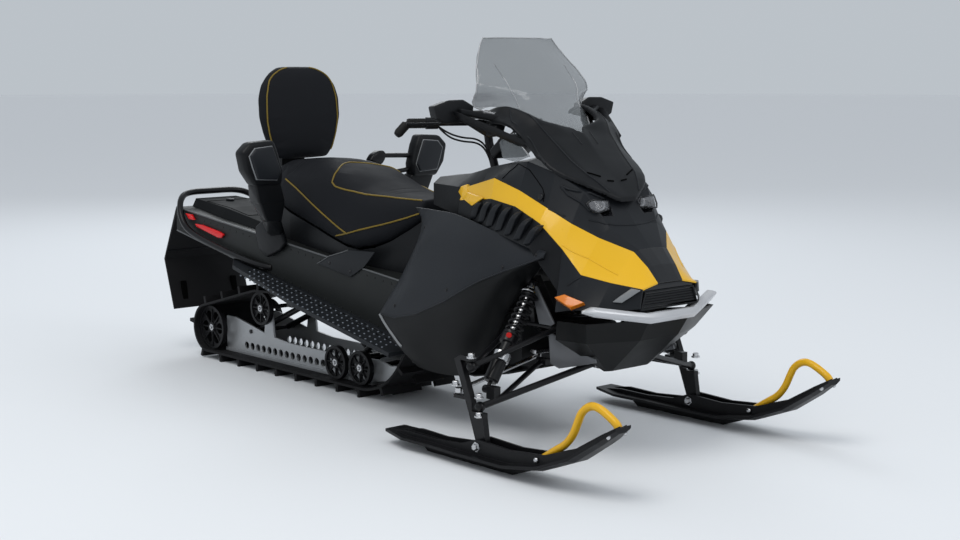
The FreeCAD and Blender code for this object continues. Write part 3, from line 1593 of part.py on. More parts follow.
# Engine: one plain block on four feet, and the tray under it
def make_engine_and_tray():
    thick = size.tray_thickness
    gap = size.panel_gap * 0.3
    start = size.tunnel_front_station + size.board_gap
    half = size.body_half_width * sole_side_share - size.side_panel_thickness - gap * 6
    bend = size.engine_rear_station + (size.engine_front_station - size.engine_rear_station) * 0.6
    end = size.tray_front_station
    tray = slab([(start, size.tray_level), (bend, size.tray_level), (end, size.tray_front_level),
                 (end, size.tray_front_level + thick), (bend, size.tray_level + thick),
                 (start + thick, size.tray_level + thick), (start + thick, size.tray_level + thick * 10),
                 (start, size.tray_level + thick * 10)], -half, half)
    shape_node("engine_tray", tray)
    parts = [block(size.engine_rear_station, size.engine_front_station, -size.engine_half_width,
                   size.engine_half_width, size.engine_low_level, size.engine_top_level)]
    foot = size.engine_low_level - size.tray_level
    for station in (size.engine_rear_station, size.engine_rear_station + foot * 3):
        for side in (-size.engine_half_width, size.engine_half_width - foot):
            parts.append(block(station, station + foot, side, side + foot,
                               size.tray_level + thick + gap, size.engine_low_level))
    shape_node("engine", fused(parts))


# Console between the seat and the cowl, with the collar that the steering post turns in. Its half
# width, foot and top are shares of the bonnet's half width and height
console_extent_shares = (0.679, 0.509, 0.434)
console_shares = [
    (0.0, (0.0, 0.62), (0.4, 0.6), (0.55, 0.5), (0.55, 0.15)),
    (0.42, (0.0, 0.72), (0.48, 0.7), (0.76, 0.5), (0.78, 0.05)),
    (0.7, (0.0, 0.87), (0.58, 0.83), (0.8, 0.5), (0.82, 0.0)),
    (1.0, (0.0, 1.0), (0.68, 0.94), (1.0, 0.66), (0.98, 0.0))]


def steer_axis():
    """A point of the steering axis and its upward direction."""
    rake = math.radians(STEER_RAKE_DEGREES)
    return point(size.steer_station, 0, size.steer_level), Vector(-math.sin(rake), 0, math.cos(rake))


def make_console():
    wide, low, tall = console_extent_shares
    front_share = bonnet_shares[1][0] - float(size.panel_gap * 2) / float(size.body_length)
    rear_share = float(size.console_rear_station - size.body_rear_station) / float(size.body_length)
    rings = []
    for row in finer(console_shares, 2):
        along = rear_share + (front_share - rear_share) * row[0]
        half = [on_body(along, wide * side, low + tall * level) for side, level in row[1:]]
        rings.append(half[::-1] + mirrored_line(half[1:]))
    centre, up = steer_axis()
    reach = float(size.body_half_width) * 4
    bore = Part.makeCylinder(float(size.post_radius + size.post_gap), reach, centre - up * (reach / 2), up)
    shape_node("console", ruled_loft(rings).cut(bore))


def bar_points():
    """Points of the handlebar from the right-hand end to the left."""
    half = [point(size.bar_end_station, -size.bar_end_side, size.bar_end_level),
            point(size.bar_bend_station, -size.bar_bend_side, size.bar_level),
            point(size.bar_inner_station, -size.bar_inner_side, size.bar_level)]
    return half + [Vector(spot.x, -spot.y, spot.z) for spot in half[::-1]]


def make_handlebar():
    centre, up = steer_axis()
    low = centre - up * float(size.post_low_length)
    head = point(size.bar_inner_station, 0, size.bar_level)
    half = size.bar_clamp / 2
    clamp = block(head.x - float(half), head.x + float(half), -half, half,
                  head.z - float(half), head.z + float(half))
    across = Vector(0, float(size.bar_clamp), 0)
    bore = rod(head - across, head + across, size.bar_radius + size.axle_gap)
    post = fused([rod(low, centre, size.post_radius), rod(centre, head, size.post_radius), clamp])
    shape_node("steering_post", post.cut(bore))
    shape_node("handlebar", bent_tube(bar_points(), size.bar_radius, size.bar_radius * 2))


def make_bar_controls():
    spots = bar_points()
    end = spots[0]
    bend = spots[1]
    inner = spots[2]
    out = Vector(end - bend).normalize()
    along = Vector(inner - bend).normalize()
    start = bend + along * float(size.switch_box * 1.6)
    box = rod(start, start + along * float(size.switch_box), size.switch_box / 2)
    grip = rod(bend + along * float(size.switch_box * 0.3), start, size.grip_radius)
    lever_root = start + along * float(size.switch_box * 0.8) + Vector(float(size.switch_box) / 2, 0, 0)
    lever_bend = lever_root + Vector(float(size.switch_box), 0, 0) - along * float(size.switch_box * 0.6)
    lever_end = lever_bend - along * float(size.grip_length)
    lever = fused([rod(lever_root, lever_bend, size.lever_radius),
                   rod(lever_bend, lever_end, size.lever_radius),
                   Part.makeSphere(float(size.lever_radius), lever_bend)])
    root = rod(lever_root - Vector(float(size.switch_box) / 2, 0, 0), lever_root, size.lever_radius)
    bore = rod(bend - along * float(size.bar_radius), inner, size.bar_radius + size.axle_gap)
    shape_node("bar_controls", both_sides(fused([box, grip, lever, root]).cut(bore)))


make_engine_and_tray()
make_bonnet()
screen_base = make_screen_parts()
make_belly_pan()
make_grille()
make_front_bumper()
make_side_panels()
make_console()
make_handlebar()
make_bar_controls()


# Seat, its base, and the backrest: each a row of rings along or up it
seat_shares = [
    (0.0, 0.45, 0.43, 0.66), (0.17, 0.78, 0.13, 0.69), (0.33, 1.0, 0.0, 0.78), (0.49, 1.0, 0.07, 0.94),
    (0.65, 0.97, 0.19, 1.0), (0.87, 0.9, 0.34, 1.0), (1.0, 0.8, 0.46, 0.95)]


# Half of a ring across the seat, from its foot to its crown
seat_section_shares = [(0.84, 0.0), (0.99, 0.2), (1.0, 0.5), (0.93, 0.8), (0.68, 0.97), (0.0, 1.0)]


def seat_places():
    """Station, half width, underside and top of each ring of the seat."""
    length = size.seat_rear_station - size.seat_front_station
    height = size.seat_top_level - size.seat_low_level
    return [(size.seat_front_station + length * along, size.seat_half_width * wide,
             size.seat_low_level + height * low, size.seat_low_level + height * top)
            for along, wide, low, top in finer(seat_shares, 2)]


def seat_ring(station, half, low, top):
    """A ring across the seat: pulled in at its foot, full at its sides and crowned on top."""
    tall = top - low
    right = [(side, up) for side, up in finer(seat_section_shares, 2)]
    line = [point(station, -half * side, low + tall * up) for side, up in right]
    return line + mirrored_line(line[:-1])[::-1]


def make_seat():
    rings = []
    base_rings = []
    gap = size.seat_base_gap
    for station, half, low, top in seat_places():
        rings.append(seat_ring(station, half, low, top))
        foot = tunnel_top(station) + gap
        base_rings.append([
            point(station, -half * 0.8, foot), point(station, half * 0.8, foot),
            point(station, half * 0.8, low - gap), point(station, -half * 0.8, low - gap)])
    shape_node("seat", ruled_loft(rings))
    shape_node("seat_base", ruled_loft(base_rings))


backrest_shares = [(0.0, 0.72, 0.7), (0.12, 0.86, 0.95), (0.45, 1.0, 1.0), (0.8, 0.97, 0.92), (0.94, 0.86, 0.8),
                   (1.0, 0.6, 0.55)]
# Half of a level ring round the backrest: how deep and how wide, from the middle of its back
backrest_section_shares = [(0.0, 0.0), (0.05, 0.75), (0.45, 1.0), (0.85, 0.88), (1.0, 0.5), (1.04, 0.0)]


def make_backrest():
    height = size.backrest_top_level - size.backrest_low_level
    rings = []
    for up, wide, deep in finer(backrest_shares, 2):
        level = size.backrest_low_level + height * up
        half = size.backrest_half_width * wide
        thick = size.backrest_thickness * deep
        back = size.backrest_station - size.backrest_thickness / 2 - height * up * 0.05
        line = [point(back + thick * depth, -half * side, level)
                for depth, side in finer(backrest_section_shares, 2)]
        rings.append(line + mirrored_line(line[1:-1])[::-1])
    shape_node("backrest", ruled_loft(rings))
    gap = size.seat_base_gap
    back = size.backrest_station - size.backrest_thickness / 2
    thick = size.backrest_bracket_thickness
    lean = height * 0.05
    bracket = slab([(back - gap - thick, tunnel_top(back - gap - thick) + gap),
                    (back - gap, tunnel_top(back - gap) + gap), (back - gap, size.backrest_low_level),
                    (back - gap - lean * 0.6, size.backrest_low_level + height * 0.6),
                    (back - gap - thick - lean * 0.6, size.backrest_low_level + height * 0.6),
                    (back - gap - thick, size.backrest_low_level)],
                   -size.backrest_half_width * 0.3, size.backrest_half_width * 0.3)
    shape_node("backrest_bracket", bracket)


def make_rear():
    gap = size.seat_base_gap
    front = size.deck_front_station
    rear = size.deck_rear_station
    rings = []
    for station, wide, tall in ((front, 1.0, 0.7), ((front + rear) / 2, 1.0, 1.0), (rear, 0.8, 0.8)):
        half = size.deck_half_width * wide
        foot = tunnel_top(station) + gap
        top = foot + size.deck_height * tall
        rings.append([point(station, -half, foot), point(station, half, foot),
                      point(station, half * 0.85, top), point(station, -half * 0.85, top)])
    shape_node("deck", ruled_loft(rings))
    lamp_front = rear + size.tail_lamp_length
    drop = size.tail_lamp_height
    lamp = slab([(rear, tunnel_top(rear) - drop * 2.2), (lamp_front, tunnel_top(lamp_front) - drop * 2.9),
                 (lamp_front, tunnel_top(lamp_front) - drop * 2.1), (rear, tunnel_top(rear) - drop * 1.2)],
                -size.tunnel_half_width - size.tail_lamp_thickness, -size.tunnel_half_width - gap)
    shape_node("tail_lamps", both_sides(lamp))
    half = [point(size.rear_bar_front_station, -size.rear_bar_side, size.rear_bar_front_level),
            point(size.rear_bar_corner_station, -size.rear_bar_side, size.rear_bar_corner_level),
            point(size.rear_bar_cross_station, -size.rear_bar_cross_side, size.rear_bar_cross_level)]
    other = [Vector(spot.x, -spot.y, spot.z) for spot in half[::-1]]
    bar = bent_tube(half + other, size.rear_bar_radius, size.rear_bar_bend)
    bar = max(bar.cut(nodes[0].Shape).Solids, key=lambda piece: piece.Volume)
    shape_node("rear_bar", bar)
    top = size.flap_top_level
    thick = size.flap_thickness
    face = size.tunnel_rear_station - gap
    flap = slab([(face - thick, top), (size.flap_kink_station, size.flap_kink_level),
                 (size.flap_low_station, size.flap_low_level),
                 (size.flap_low_station + thick, size.flap_low_level),
                 (size.flap_kink_station + thick, size.flap_kink_level), (face, top - thick * 4), (face, top)],
                -size.flap_half_width, size.flap_half_width)
    shape_node("snow_flap", flap)


# Hand guard: its rounded outline from behind, as shares of its height inwards from its outer side
# and up from its foot
guard_shares = [(0.26, 0.04), (0.02, 0.0), (-0.12, 0.3), (-0.2, 0.66), (-0.14, 0.95), (0.06, 1.0),
                (0.28, 0.95), (0.4, 0.6), (0.36, 0.26)]


def make_hand_guards():
    gap = size.seat_base_gap
    station = size.guard_station
    side = size.guard_side
    top = size.guard_top_level
    low = size.guard_low_level
    tall = top - low
    outline = [point(station, -side + tall * across, low + tall * up) for across, up in round_corners(guard_shares, 3)]
    shield = plate(outline, Vector(-float(size.guard_thickness), 0, 0))
    arm_out = size.tunnel_half_width + gap + size.guard_arm_thickness
    arm_in = size.tunnel_half_width + gap
    grip = rod(point(station - size.guard_thickness / 2, -side + tall * 0.35, low + tall * 0.45),
               point(station - size.guard_thickness, -arm_in, low + tall * 0.5), size.guard_bar_radius)
    brace = rod(point(station - size.guard_thickness / 2, -side + tall * 0.28, low + tall * 0.15),
                point(station - size.guard_thickness, -arm_in, low), size.guard_bar_radius)
    foot = size.guard_foot_station
    foot_level = size.guard_foot_level
    arm = slab([
        (station - size.guard_thickness * 0.4, low + tall * 0.6),
        (station - size.guard_thickness * 1.8, low + tall * 0.6),
        (foot - size.guard_thickness, foot_level), (foot + size.guard_thickness, foot_level),
        (station - size.guard_thickness * 0.4, low - tall * 0.3)], -arm_out, -arm_in)
    shape_node("hand_guards", both_sides(fused([shield, grip, brace, arm])))


# Mirrors: station, low level and height of a shell as shares of the bonnet's, its outline as shares of
# the half width and of its own height, and the place on the body where its arm stands
mirror_place_shares = (0.165, 1.185, 0.158)
mirror_shares = [(1.397, 0.5), (1.33, 0.86), (1.18, 1.0), (1.0, 0.97), (0.885, 0.72), (0.89, 0.36),
                 (1.08, 0.1), (1.3, 0.06)]
mirror_arm_shares = (0.219, 0.576, 1.226)


def centre_of(spots):
    """The mean of some points."""
    total = Vector(0, 0, 0)
    for spot in spots:
        total += spot
    return total / len(spots)


def make_mirrors(base):
    along, level, tall = mirror_place_shares
    depth = Vector(-float(size.mirror_depth), 0, 0)
    face = [on_body(along, side, level + tall * up) for side, up in round_corners(mirror_shares, 3)]
    back = [spot + depth + (centre_of(face) - spot) * 0.25 for spot in face]
    shell = ruled_loft([face, [spot + depth * 0.55 for spot in face], back])
    root = on_body(*mirror_arm_shares)
    arm = rod(centre_of(face) + depth * 0.5, root, size.mirror_arm_radius)
    mirror = fused([shell, arm]).cut(base)
    mirror = max(mirror.Solids, key=lambda piece: piece.Volume)
    shape_node("mirrors", both_sides(mirror))


make_seat()
make_backrest()
make_rear()
make_hand_guards()
make_mirrors(screen_base)

doc.recompute()


def check_and_write():
    """Stop on any object that failed, then write each sub-part's shape."""
    for entry in doc.Objects:
        if "Invalid" in entry.State or "Error" in entry.State:
            raise RuntimeError(f"{entry.Label} failed: {entry.State}")
    os.makedirs("parts", exist_ok=True)
    for node in nodes:
        shape = node.Shape
        if shape.isNull() or not shape.isValid() or not shape.Solids:
            raise RuntimeError(f"{node.Label} has no valid solid")
        shape.exportStep(f"parts/{node.Label}.step")
        print(node.Label, len(shape.Solids), round(shape.Volume / 1e6, 4))


check_and_write()
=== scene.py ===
"""Looks of a touring snowmobile with a passenger seat, built round its CAD parts."""

import math

import bmesh
import bpy
from mathutils import Matrix, Vector
from mathutils.bvhtree import BVHTree
from mathutils.kdtree import KDTree


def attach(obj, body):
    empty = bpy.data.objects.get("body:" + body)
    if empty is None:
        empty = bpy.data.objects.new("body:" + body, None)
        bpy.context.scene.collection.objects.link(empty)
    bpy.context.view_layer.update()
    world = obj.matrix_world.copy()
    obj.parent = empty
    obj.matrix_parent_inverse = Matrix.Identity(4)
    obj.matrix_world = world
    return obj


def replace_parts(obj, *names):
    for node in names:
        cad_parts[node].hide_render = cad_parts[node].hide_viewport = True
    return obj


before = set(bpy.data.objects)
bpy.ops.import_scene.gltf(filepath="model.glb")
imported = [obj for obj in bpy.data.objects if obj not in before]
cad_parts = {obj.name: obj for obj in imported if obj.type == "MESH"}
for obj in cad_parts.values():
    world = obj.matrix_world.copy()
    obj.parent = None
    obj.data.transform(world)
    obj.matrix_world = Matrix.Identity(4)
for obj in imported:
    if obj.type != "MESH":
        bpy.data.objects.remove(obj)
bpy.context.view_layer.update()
scene = bpy.context.scene

# The studio
# A pale snow-coloured floor under a soft overcast sky, seen from a standing
# person's height at the right front, as in the photograph.
scene.view_settings.view_transform = "Standard"
look_from = Vector((4.7934, -3.981, 1.3432))
turn, tilt = math.radians(48.062), math.radians(7.555)
backwards = Vector((math.sin(turn) * math.cos(tilt), -math.cos(turn) * math.cos(tilt), math.sin(tilt)))
camera = bpy.data.objects.new("camera", bpy.data.cameras.new("camera"))
camera.data.lens = 58.98
camera.data.sensor_width = 36.0
camera.data.clip_end = 200
camera.location = look_from
camera.rotation_mode = "QUATERNION"
camera.rotation_quaternion = (-backwards).to_track_quat("-Z", "Y")
scene.collection.objects.link(camera)
scene.camera = camera


def dial(shader, values):
    """Sets input sockets of a shader node, or connects them to other sockets."""
    for socket, value in values.items():
        if isinstance(value, bpy.types.NodeSocket):
            shader.id_data.links.new(value, shader.inputs[socket])
        else:
            shader.inputs[socket].default_value = value


def new_node(tree, kind, values=None, **settings):
    """A new shader node with its settings and its inputs."""
    made = tree.nodes.new("ShaderNode" + kind)
    for name, value in settings.items():
        setattr(made, name, value)
    dial(made, values or {})
    return made


def seen_directly(tree):
    """One on the rays that look at, mirror or pass to the background."""
    rays = new_node(tree, "LightPath").outputs
    found = rays["Is Camera Ray"]
    for name in ("Is Glossy Ray", "Is Transmission Ray"):
        found = new_node(tree, "Math", {0: found, 1: rays[name]}, operation="MAXIMUM").outputs[0]
    return found


sky = bpy.data.worlds.new("overcast sky")
sky.use_nodes = True
scene.world = sky
air = sky.node_tree
air.nodes.clear()
sky_light = new_node(air, "Background", {"Color": (0.93, 0.96, 1.0, 1), "Strength": 0.72})
sky_shown = new_node(air, "Background", {"Color": (0.50, 0.54, 0.58, 1)})
sky_mix = new_node(air, "MixShader", {0: seen_directly(air), 1: sky_light.outputs[0], 2: sky_shown.outputs[0]})
new_node(air, "OutputWorld", {"Surface": sky_mix.outputs[0]})

snow_mesh = bmesh.new()
bmesh.ops.create_circle(snow_mesh, cap_ends=True, radius=60, segments=96)
snow_data = bpy.data.meshes.new("snow_floor")
snow_mesh.to_mesh(snow_data)
snow_mesh.free()
snow_floor = bpy.data.objects.new("snow_floor", snow_data)
scene.collection.objects.link(snow_floor)
snow = bpy.data.materials.new("packed snow")
snow.use_nodes = True
dial(snow.node_tree.nodes["Principled BSDF"],
     {"Base Color": (0.72, 0.75, 0.78, 1), "Roughness": 0.9, "Specular IOR Level": 0.1})
snow_data.materials.append(snow)


def soft_box(name, place, aim, size, power, colour):
    """A square soft light that faces a point."""
    lamp = bpy.data.lights.new(name, "AREA")
    lamp.shape = "SQUARE"
    lamp.size = size
    lamp.energy = power
    lamp.color = colour
    light = bpy.data.objects.new(name, lamp)
    light.location = place
    light.rotation_mode = "QUATERNION"
    light.rotation_quaternion = (Vector(aim) - Vector(place)).to_track_quat("-Z", "Y")
    scene.collection.objects.link(light)


soft_box("key_light", (1.0, -4.0, 7.5), (0, 0, 0.5), 4.5, 260, (1.0, 0.98, 0.95))
soft_box("front_light", (7.5, 2.0, 5.5), (0.4, 0, 0.5), 3.5, 110, (1.0, 1.0, 1.0))
soft_box("back_light", (-6.0, 4.0, 5.0), (0, 0, 0.7), 3.0, 110, (0.95, 0.98, 1.0))


# The tunnel and the running boards
# A bent aluminium tunnel, painted dark grey, carries everything behind the
# engine. The boards are pressed sheet, riveted along its lower edges.
def node_group(name, inputs, outputs):
    """A shader group with the named sockets, and its two end nodes."""
    group = bpy.data.node_groups.new(name, "ShaderNodeTree")
    for label, kind, value in inputs:
        socket = group.interface.new_socket(label, in_out="INPUT", socket_type=kind)
        socket.default_value = value
    for label, kind in outputs:
        group.interface.new_socket(label, in_out="OUTPUT", socket_type=kind)
    return group, group.nodes.new("NodeGroupInput"), group.nodes.new("NodeGroupOutput")


def grain_group():
    """Fine moulded or sprayed grain, and slow changes of tone, in the object's own space."""
    inputs = (("Grain Size", "NodeSocketFloat", 900.0), ("Patch Size", "NodeSocketFloat", 7.0))
    outputs = (("Height", "NodeSocketFloat"), ("Tone", "NodeSocketFloat"))
    group, start, end = node_group("surface grain", inputs, outputs)
    own = new_node(group, "TexCoord").outputs["Object"]
    fine = new_node(group, "TexNoise", {"Vector": own, "Scale": start.outputs["Grain Size"], "Detail": 3})
    slow = new_node(group, "TexNoise", {"Vector": own, "Scale": start.outputs["Patch Size"], "Detail": 5,
                                        "Roughness": 0.6})
    dial(end, {"Height": fine.outputs["Fac"], "Tone": slow.outputs["Fac"]})
    return group


def edge_group():
    """Rounds the look of sharp edges, and marks where they are rubbed."""
    inputs = (("Radius", "NodeSocketFloat", 0.003), ("Wear", "NodeSocketFloat", 0.5))
    outputs = (("Normal", "NodeSocketVector"), ("Rubbed", "NodeSocketFloat"))
    group, start, end = node_group("rubbed edges", inputs, outputs)
    soft = new_node(group, "Bevel", {"Radius": start.outputs["Radius"]}, samples=4).outputs["Normal"]
    flat = new_node(group, "NewGeometry").outputs["Normal"]
    dot = new_node(group, "VectorMath", {0: soft, 1: flat}, operation="DOT_PRODUCT").outputs["Value"]
    spread = new_node(group, "MapRange", {"Value": dot, "From Min": 0.98, "From Max": 0.8}).outputs[0]
    own = new_node(group, "TexCoord").outputs["Object"]
    broken = new_node(group, "TexNoise", {"Vector": own, "Scale": 60, "Detail": 4}).outputs["Fac"]
    gather = new_node(group, "MapRange", {"Value": broken, "From Min": 0.42, "From Max": 0.68}).outputs[0]
    patchy = new_node(group, "Math", {0: spread, 1: gather}, operation="MULTIPLY").outputs[0]
    most = new_node(group, "Math", {0: patchy, 1: start.outputs["Wear"]}, operation="MULTIPLY").outputs[0]
    dial(end, {"Normal": soft, "Rubbed": most})
    return group


surface_grain = grain_group()
rubbed_edges = edge_group()


def blank(name):
    """A new material for a slot, and its shader."""
    material = bpy.data.materials.new(name)
    material.use_nodes = True
    return material, material.node_tree.nodes["Principled BSDF"]


def grey(value):
    """A colour without any tint."""
    return (value, value, value)


def finish(name, colour, rubbed, roughness, grain=900.0, depth=0.02, patch=7.0, wear=0.3,
           radius=0.003, metallic=0.0, coat=0.0, vary=0.12, specular=0.2):
    """A hard finish with its own grain, uneven tone and rubbed edges."""
    material, shader = blank(name)
    tree = material.node_tree
    grains = new_node(tree, "Group", {"Grain Size": grain, "Patch Size": patch}, node_tree=surface_grain).outputs
    edges = new_node(tree, "Group", {"Radius": radius, "Wear": wear}, node_tree=rubbed_edges).outputs
    dark = tuple(c * (1 - vary) for c in colour) + (1,)
    light = tuple(min(1, c * (1 + vary)) for c in colour) + (1,)
    tones = new_node(tree, "Mix", {"Factor": grains["Tone"], "A": dark, "B": light}, data_type="RGBA")
    worn = new_node(tree, "Mix", {"Factor": edges["Rubbed"], "A": tones.outputs["Result"],
                                  "B": tuple(rubbed) + (1,)}, data_type="RGBA")
    rough = new_node(tree, "MapRange", {"Value": grains["Tone"], "From Min": 0.3, "From Max": 0.7,
                                        "To Min": roughness * 0.88, "To Max": min(1, roughness * 1.15)})
    bump = new_node(tree, "Bump", {"Height": grains["Height"], "Normal": edges["Normal"], "Strength": 1,
                                   "Distance": depth * 0.001})
    dial(shader, {"Base Color": worn.outputs["Result"], "Roughness": rough.outputs[0], "Normal": bump.outputs[0],
                  "Metallic": metallic, "Specular IOR Level": specular, "Coat Weight": coat, "Coat Roughness": 0.06})
    return material


def paint(material, *names):
    """Gives the CAD nodes their finish."""
    for name in names:
        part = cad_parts[name]
        if not part.material_slots:
            part.data.materials.append(material)
        for slot in part.material_slots:
            slot.material = material


tunnel_paint = finish("tunnel paint", (0.014, 0.0155, 0.0155), (0.12, 0.13, 0.14), 0.45, wear=0.3)
board_paint = finish("board paint", (0.012, 0.014, 0.017), (0.18, 0.19, 0.21), 0.5, wear=0.5)
# A light grey trim for beads along edges: its lightness is a painted highlight on those edges.
edge_highlight_paint = finish("edge trim with painted highlight", (0.13, 0.135, 0.14), grey(0.5), 0.35, metallic=0.5, wear=0.6)
grip_metal = finish("punched edges", (0.16, 0.18, 0.21), (0.4, 0.42, 0.45), 0.4, metallic=0.6)
paint(tunnel_paint, "tunnel")
paint(board_paint, "running_boards")


def copied(node):
    """A merged working copy of a CAD node's mesh."""
    mesh = bmesh.new()
    mesh.from_mesh(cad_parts[node].data)
    bmesh.ops.remove_doubles(mesh, verts=mesh.verts, dist=2e-5)
    return mesh


def ready(piece, material, body):
    """Gives a piece its finish and lets it ride on a body."""
    piece.data.materials.append(material)
    scene.collection.objects.link(piece)
    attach(piece, body)
    return piece


def place(name, mesh, material, body="chassis", angle=35):
    """Turns a finished bmesh into a shaded piece."""
    data = bpy.data.meshes.new(name)
    mesh.to_mesh(data)
    mesh.free()
    data.shade_smooth()
    data.set_sharp_from_angle(angle=math.radians(angle))
    return ready(bpy.data.objects.new(name, data), material, body)


def bead(name, runs, radius, material, body="chassis", smooth=False, closed=False):
    """Round strips or tubes along lines of points."""
    line = bpy.data.curves.new(name, "CURVE")
    line.dimensions = "3D"
    line.bevel_depth = radius
    line.bevel_resolution = 2
    line.use_fill_caps = True
    for run in runs:
        spline = line.splines.new("NURBS" if smooth else "POLY")
        spline.points.add(len(run) - 1)
        for point, spot in zip(spline.points, run):
            point.co = (*spot, 1)
        spline.use_cyclic_u = closed
        spline.use_smooth = True
        if smooth:
            spline.order_u = 3
            spline.use_endpoint_u = not closed
    return ready(bpy.data.objects.new(name, line), material, body)


def both(*runs):
    """Lines of points, and the same lines on the other side of the machine."""
    found = [[Vector(spot) for spot in run] for run in runs]
    return found + [[Vector((spot.x, -spot.y, spot.z)) for spot in run] for run in found]


def lengthways(across, spots):
    """Stations and levels as points of an upright plane along the machine."""
    return [(station, across, level) for station, level in spots]


def crossways(station, spots):
    """Distances from the middle and levels as points of an upright plane across the machine."""
    return [(station, across, level) for across, level in spots]


def rounded(mesh, offset, segments=3):
    """Rounds every edge of a mesh."""
    bmesh.ops.bevel(mesh, geom=mesh.edges[:], offset=offset, segments=segments, profile=0.5, affect="EDGES",
                    material=-1, clamp_overlap=True)


def dome(mesh, spot, normal, radius, height=0.5):
    """A low round head on a surface."""
    turn_to = Vector(normal).to_track_quat("Z", "Y").to_matrix().to_4x4()
    matrix = Matrix.Translation(spot) @ turn_to @ Matrix.Diagonal((1, 1, height, 1))
    bmesh.ops.create_uvsphere(mesh, u_segments=10, v_segments=6, radius=radius, matrix=matrix)


front_end, rear_end, tunnel_side = 0.262, -1.484, 0.2105
tunnel_front, tunnel_rear = Vector((front_end, tunnel_side, 0.494)), Vector((rear_end, tunnel_side, 0.681))
sill_front, sill_rear = Vector((front_end, tunnel_side, 0.252)), Vector((rear_end, tunnel_side, 0.575))
# Light grey beads along the tunnel's top and lower edges: painted highlights on the rolled edges.
bead("tunnel_edge_rolls", both([tunnel_front, tunnel_rear], [sill_front, sill_rear]), 0.004, edge_highlight_paint)
rivets = bmesh.new()
rivet_rows = ((tunnel_front, tunnel_rear, -0.022, 34), (sill_front, sill_rear, 0.016, 30))
for side in (-1, 1):
    for high, low, inset, count in rivet_rows:
        for index in range(count):
            spot = high.lerp(low, (index + 0.5) / count) + Vector((0, 0, inset))
            dome(rivets, (spot.x, side * (spot.y - 0.0005), spot.z), (0, side, 0), 0.0045)
place("tunnel_rivets", rivets, tunnel_paint)
teeth = bmesh.new()
tooth_step, row_step, board_slope = 0.034, 0.034, 0.1857
for side in (-1, 1):
    for row in range(4):
        for index in range(30):
            along = -0.80 + index * tooth_step + (row % 2) * tooth_step / 2
            if row < 2 or along > -0.75:
                spot = (along, side * (0.250 + row * row_step), 0.3118 - along * board_slope)
                dome(teeth, spot, (0.18, 0, 0.98), 0.0052, 0.7)
place("board_teeth", teeth, grip_metal)

# The skid
# Extruded aluminium rails with plastic runners hang on two painted swing arms
# with a gas shock between them. Black wheels with rubber tyres carry the track.
bare_aluminium = finish("bare aluminium", (0.38, 0.39, 0.40), grey(0.7), 0.42, metallic=0.75)
arm_paint = finish("black frame paint", (0.005, 0.005, 0.006), grey(0.12), 0.33, wear=0.3, coat=0.1)
wheel_plastic = finish("wheel plastic", (0.006, 0.006, 0.007), grey(0.05), 0.45)
track_rubber = finish("track rubber", (0.009, 0.009, 0.010), grey(0.04), 0.68, grain=500, depth=0.1)
bright_steel = finish("bright steel", (0.55, 0.55, 0.56), grey(0.8), 0.24, metallic=1.0, wear=0.2)
paint(bare_aluminium, "slide_rails")
paint(arm_paint, "skid_arms", "skid_shock")
paint(wheel_plastic, "idler_wheels", "drive_axle")
paint(track_rubber, "track")


def turned(mesh, profile, start, toward, steps=24):
    """Spins a profile of radius and distance about the line from one point to another."""
    start = Vector(start)
    axis = (Vector(toward) - start).normalized()
    aside = axis.orthogonal().normalized()
    spots = [mesh.verts.new(start + axis * far + aside * radius) for radius, far in profile]
    edges = [mesh.edges.new(pair) for pair in zip(spots, spots[1:])]
    bmesh.ops.spin(mesh, geom=spots + edges, cent=start, axis=axis, angle=math.tau, steps=steps, use_merge=True)


def nut(mesh, spot, out, radius, height, washer, depth, inner=None):
    """A six-sided head with a chamfer, on a round washer let into what it holds."""
    turned(mesh, ((0, height), (inner or radius * 0.9, height), (radius, height - 0.002), (radius, 0), (washer, 0),
                  (washer, -depth)), spot, Vector(spot) + Vector(out), 6)


def closed_up(mesh):
    """Merges a mesh's doubles and turns its faces outwards."""
    bmesh.ops.remove_doubles(mesh, verts=mesh.verts, dist=1e-5)
    bmesh.ops.recalc_face_normals(mesh, faces=mesh.faces)
    return mesh


wheel_out, hub_radius, spoke_count = 0.1655, 0.022, 8
wheel_places = ((-1.286, 0.1423, 0.088), (-0.35, 0.1128, 0.0585), (-0.186, 0.1128, 0.0585), (-0.89, 0.275, 0.062))
hubs = bmesh.new()
spokes = bmesh.new()
for station, level, rim in wheel_places:
    for side in (-1, 1):
        face = side * wheel_out
        nut(hubs, (station, face, level), (0, side, 0), 0.0075, 0.006, 0.016, 0.006, inner=0.006)
        for index in range(spoke_count):
            centre = Matrix.Translation((station, face - side * 0.0075, level))
            spin = Matrix.Rotation(index * math.tau / spoke_count, 4, "Y")
            out = Matrix.Translation(((rim + hub_radius) / 2, 0, 0))
            shape = Matrix.Diagonal((rim - hub_radius, 0.009, 0.006, 1))
            bmesh.ops.create_cube(spokes, size=1, matrix=centre @ spin @ out @ shape)
rounded(spokes, 0.0015, 2)
place("wheel_bolts", closed_up(hubs), bright_steel)
place("wheel_spokes", spokes, wheel_plastic)

# The front frame
# A welded tube frame with cast ends holds the engine tray and the suspension
# arms, all in black paint. The springs are black, with a silver collar.
cast_metal = finish("cast metal", (0.16, 0.165, 0.175), grey(0.4), 0.45, metallic=0.5, grain=400,
                    depth=0.06)
engine_metal = finish("engine castings", (0.02, 0.021, 0.022), grey(0.2), 0.5, metallic=0.4)
knob_red = finish("red knob", (0.45, 0.012, 0.01), (0.6, 0.05, 0.05), 0.35)
paint(arm_paint, "bulkhead", "upper_arms", "lower_arms", "front_springs", "front_shocks")
paint(engine_metal, "engine", "engine_tray")
paint(arm_paint, "spindle_left", "spindle_right", "steering_post")
paint(bright_steel, "tie_rods", "centre_link")
shock_top, shock_foot = Vector((0.892, -0.226, 0.578)), Vector((0.930, -0.478, 0.246))


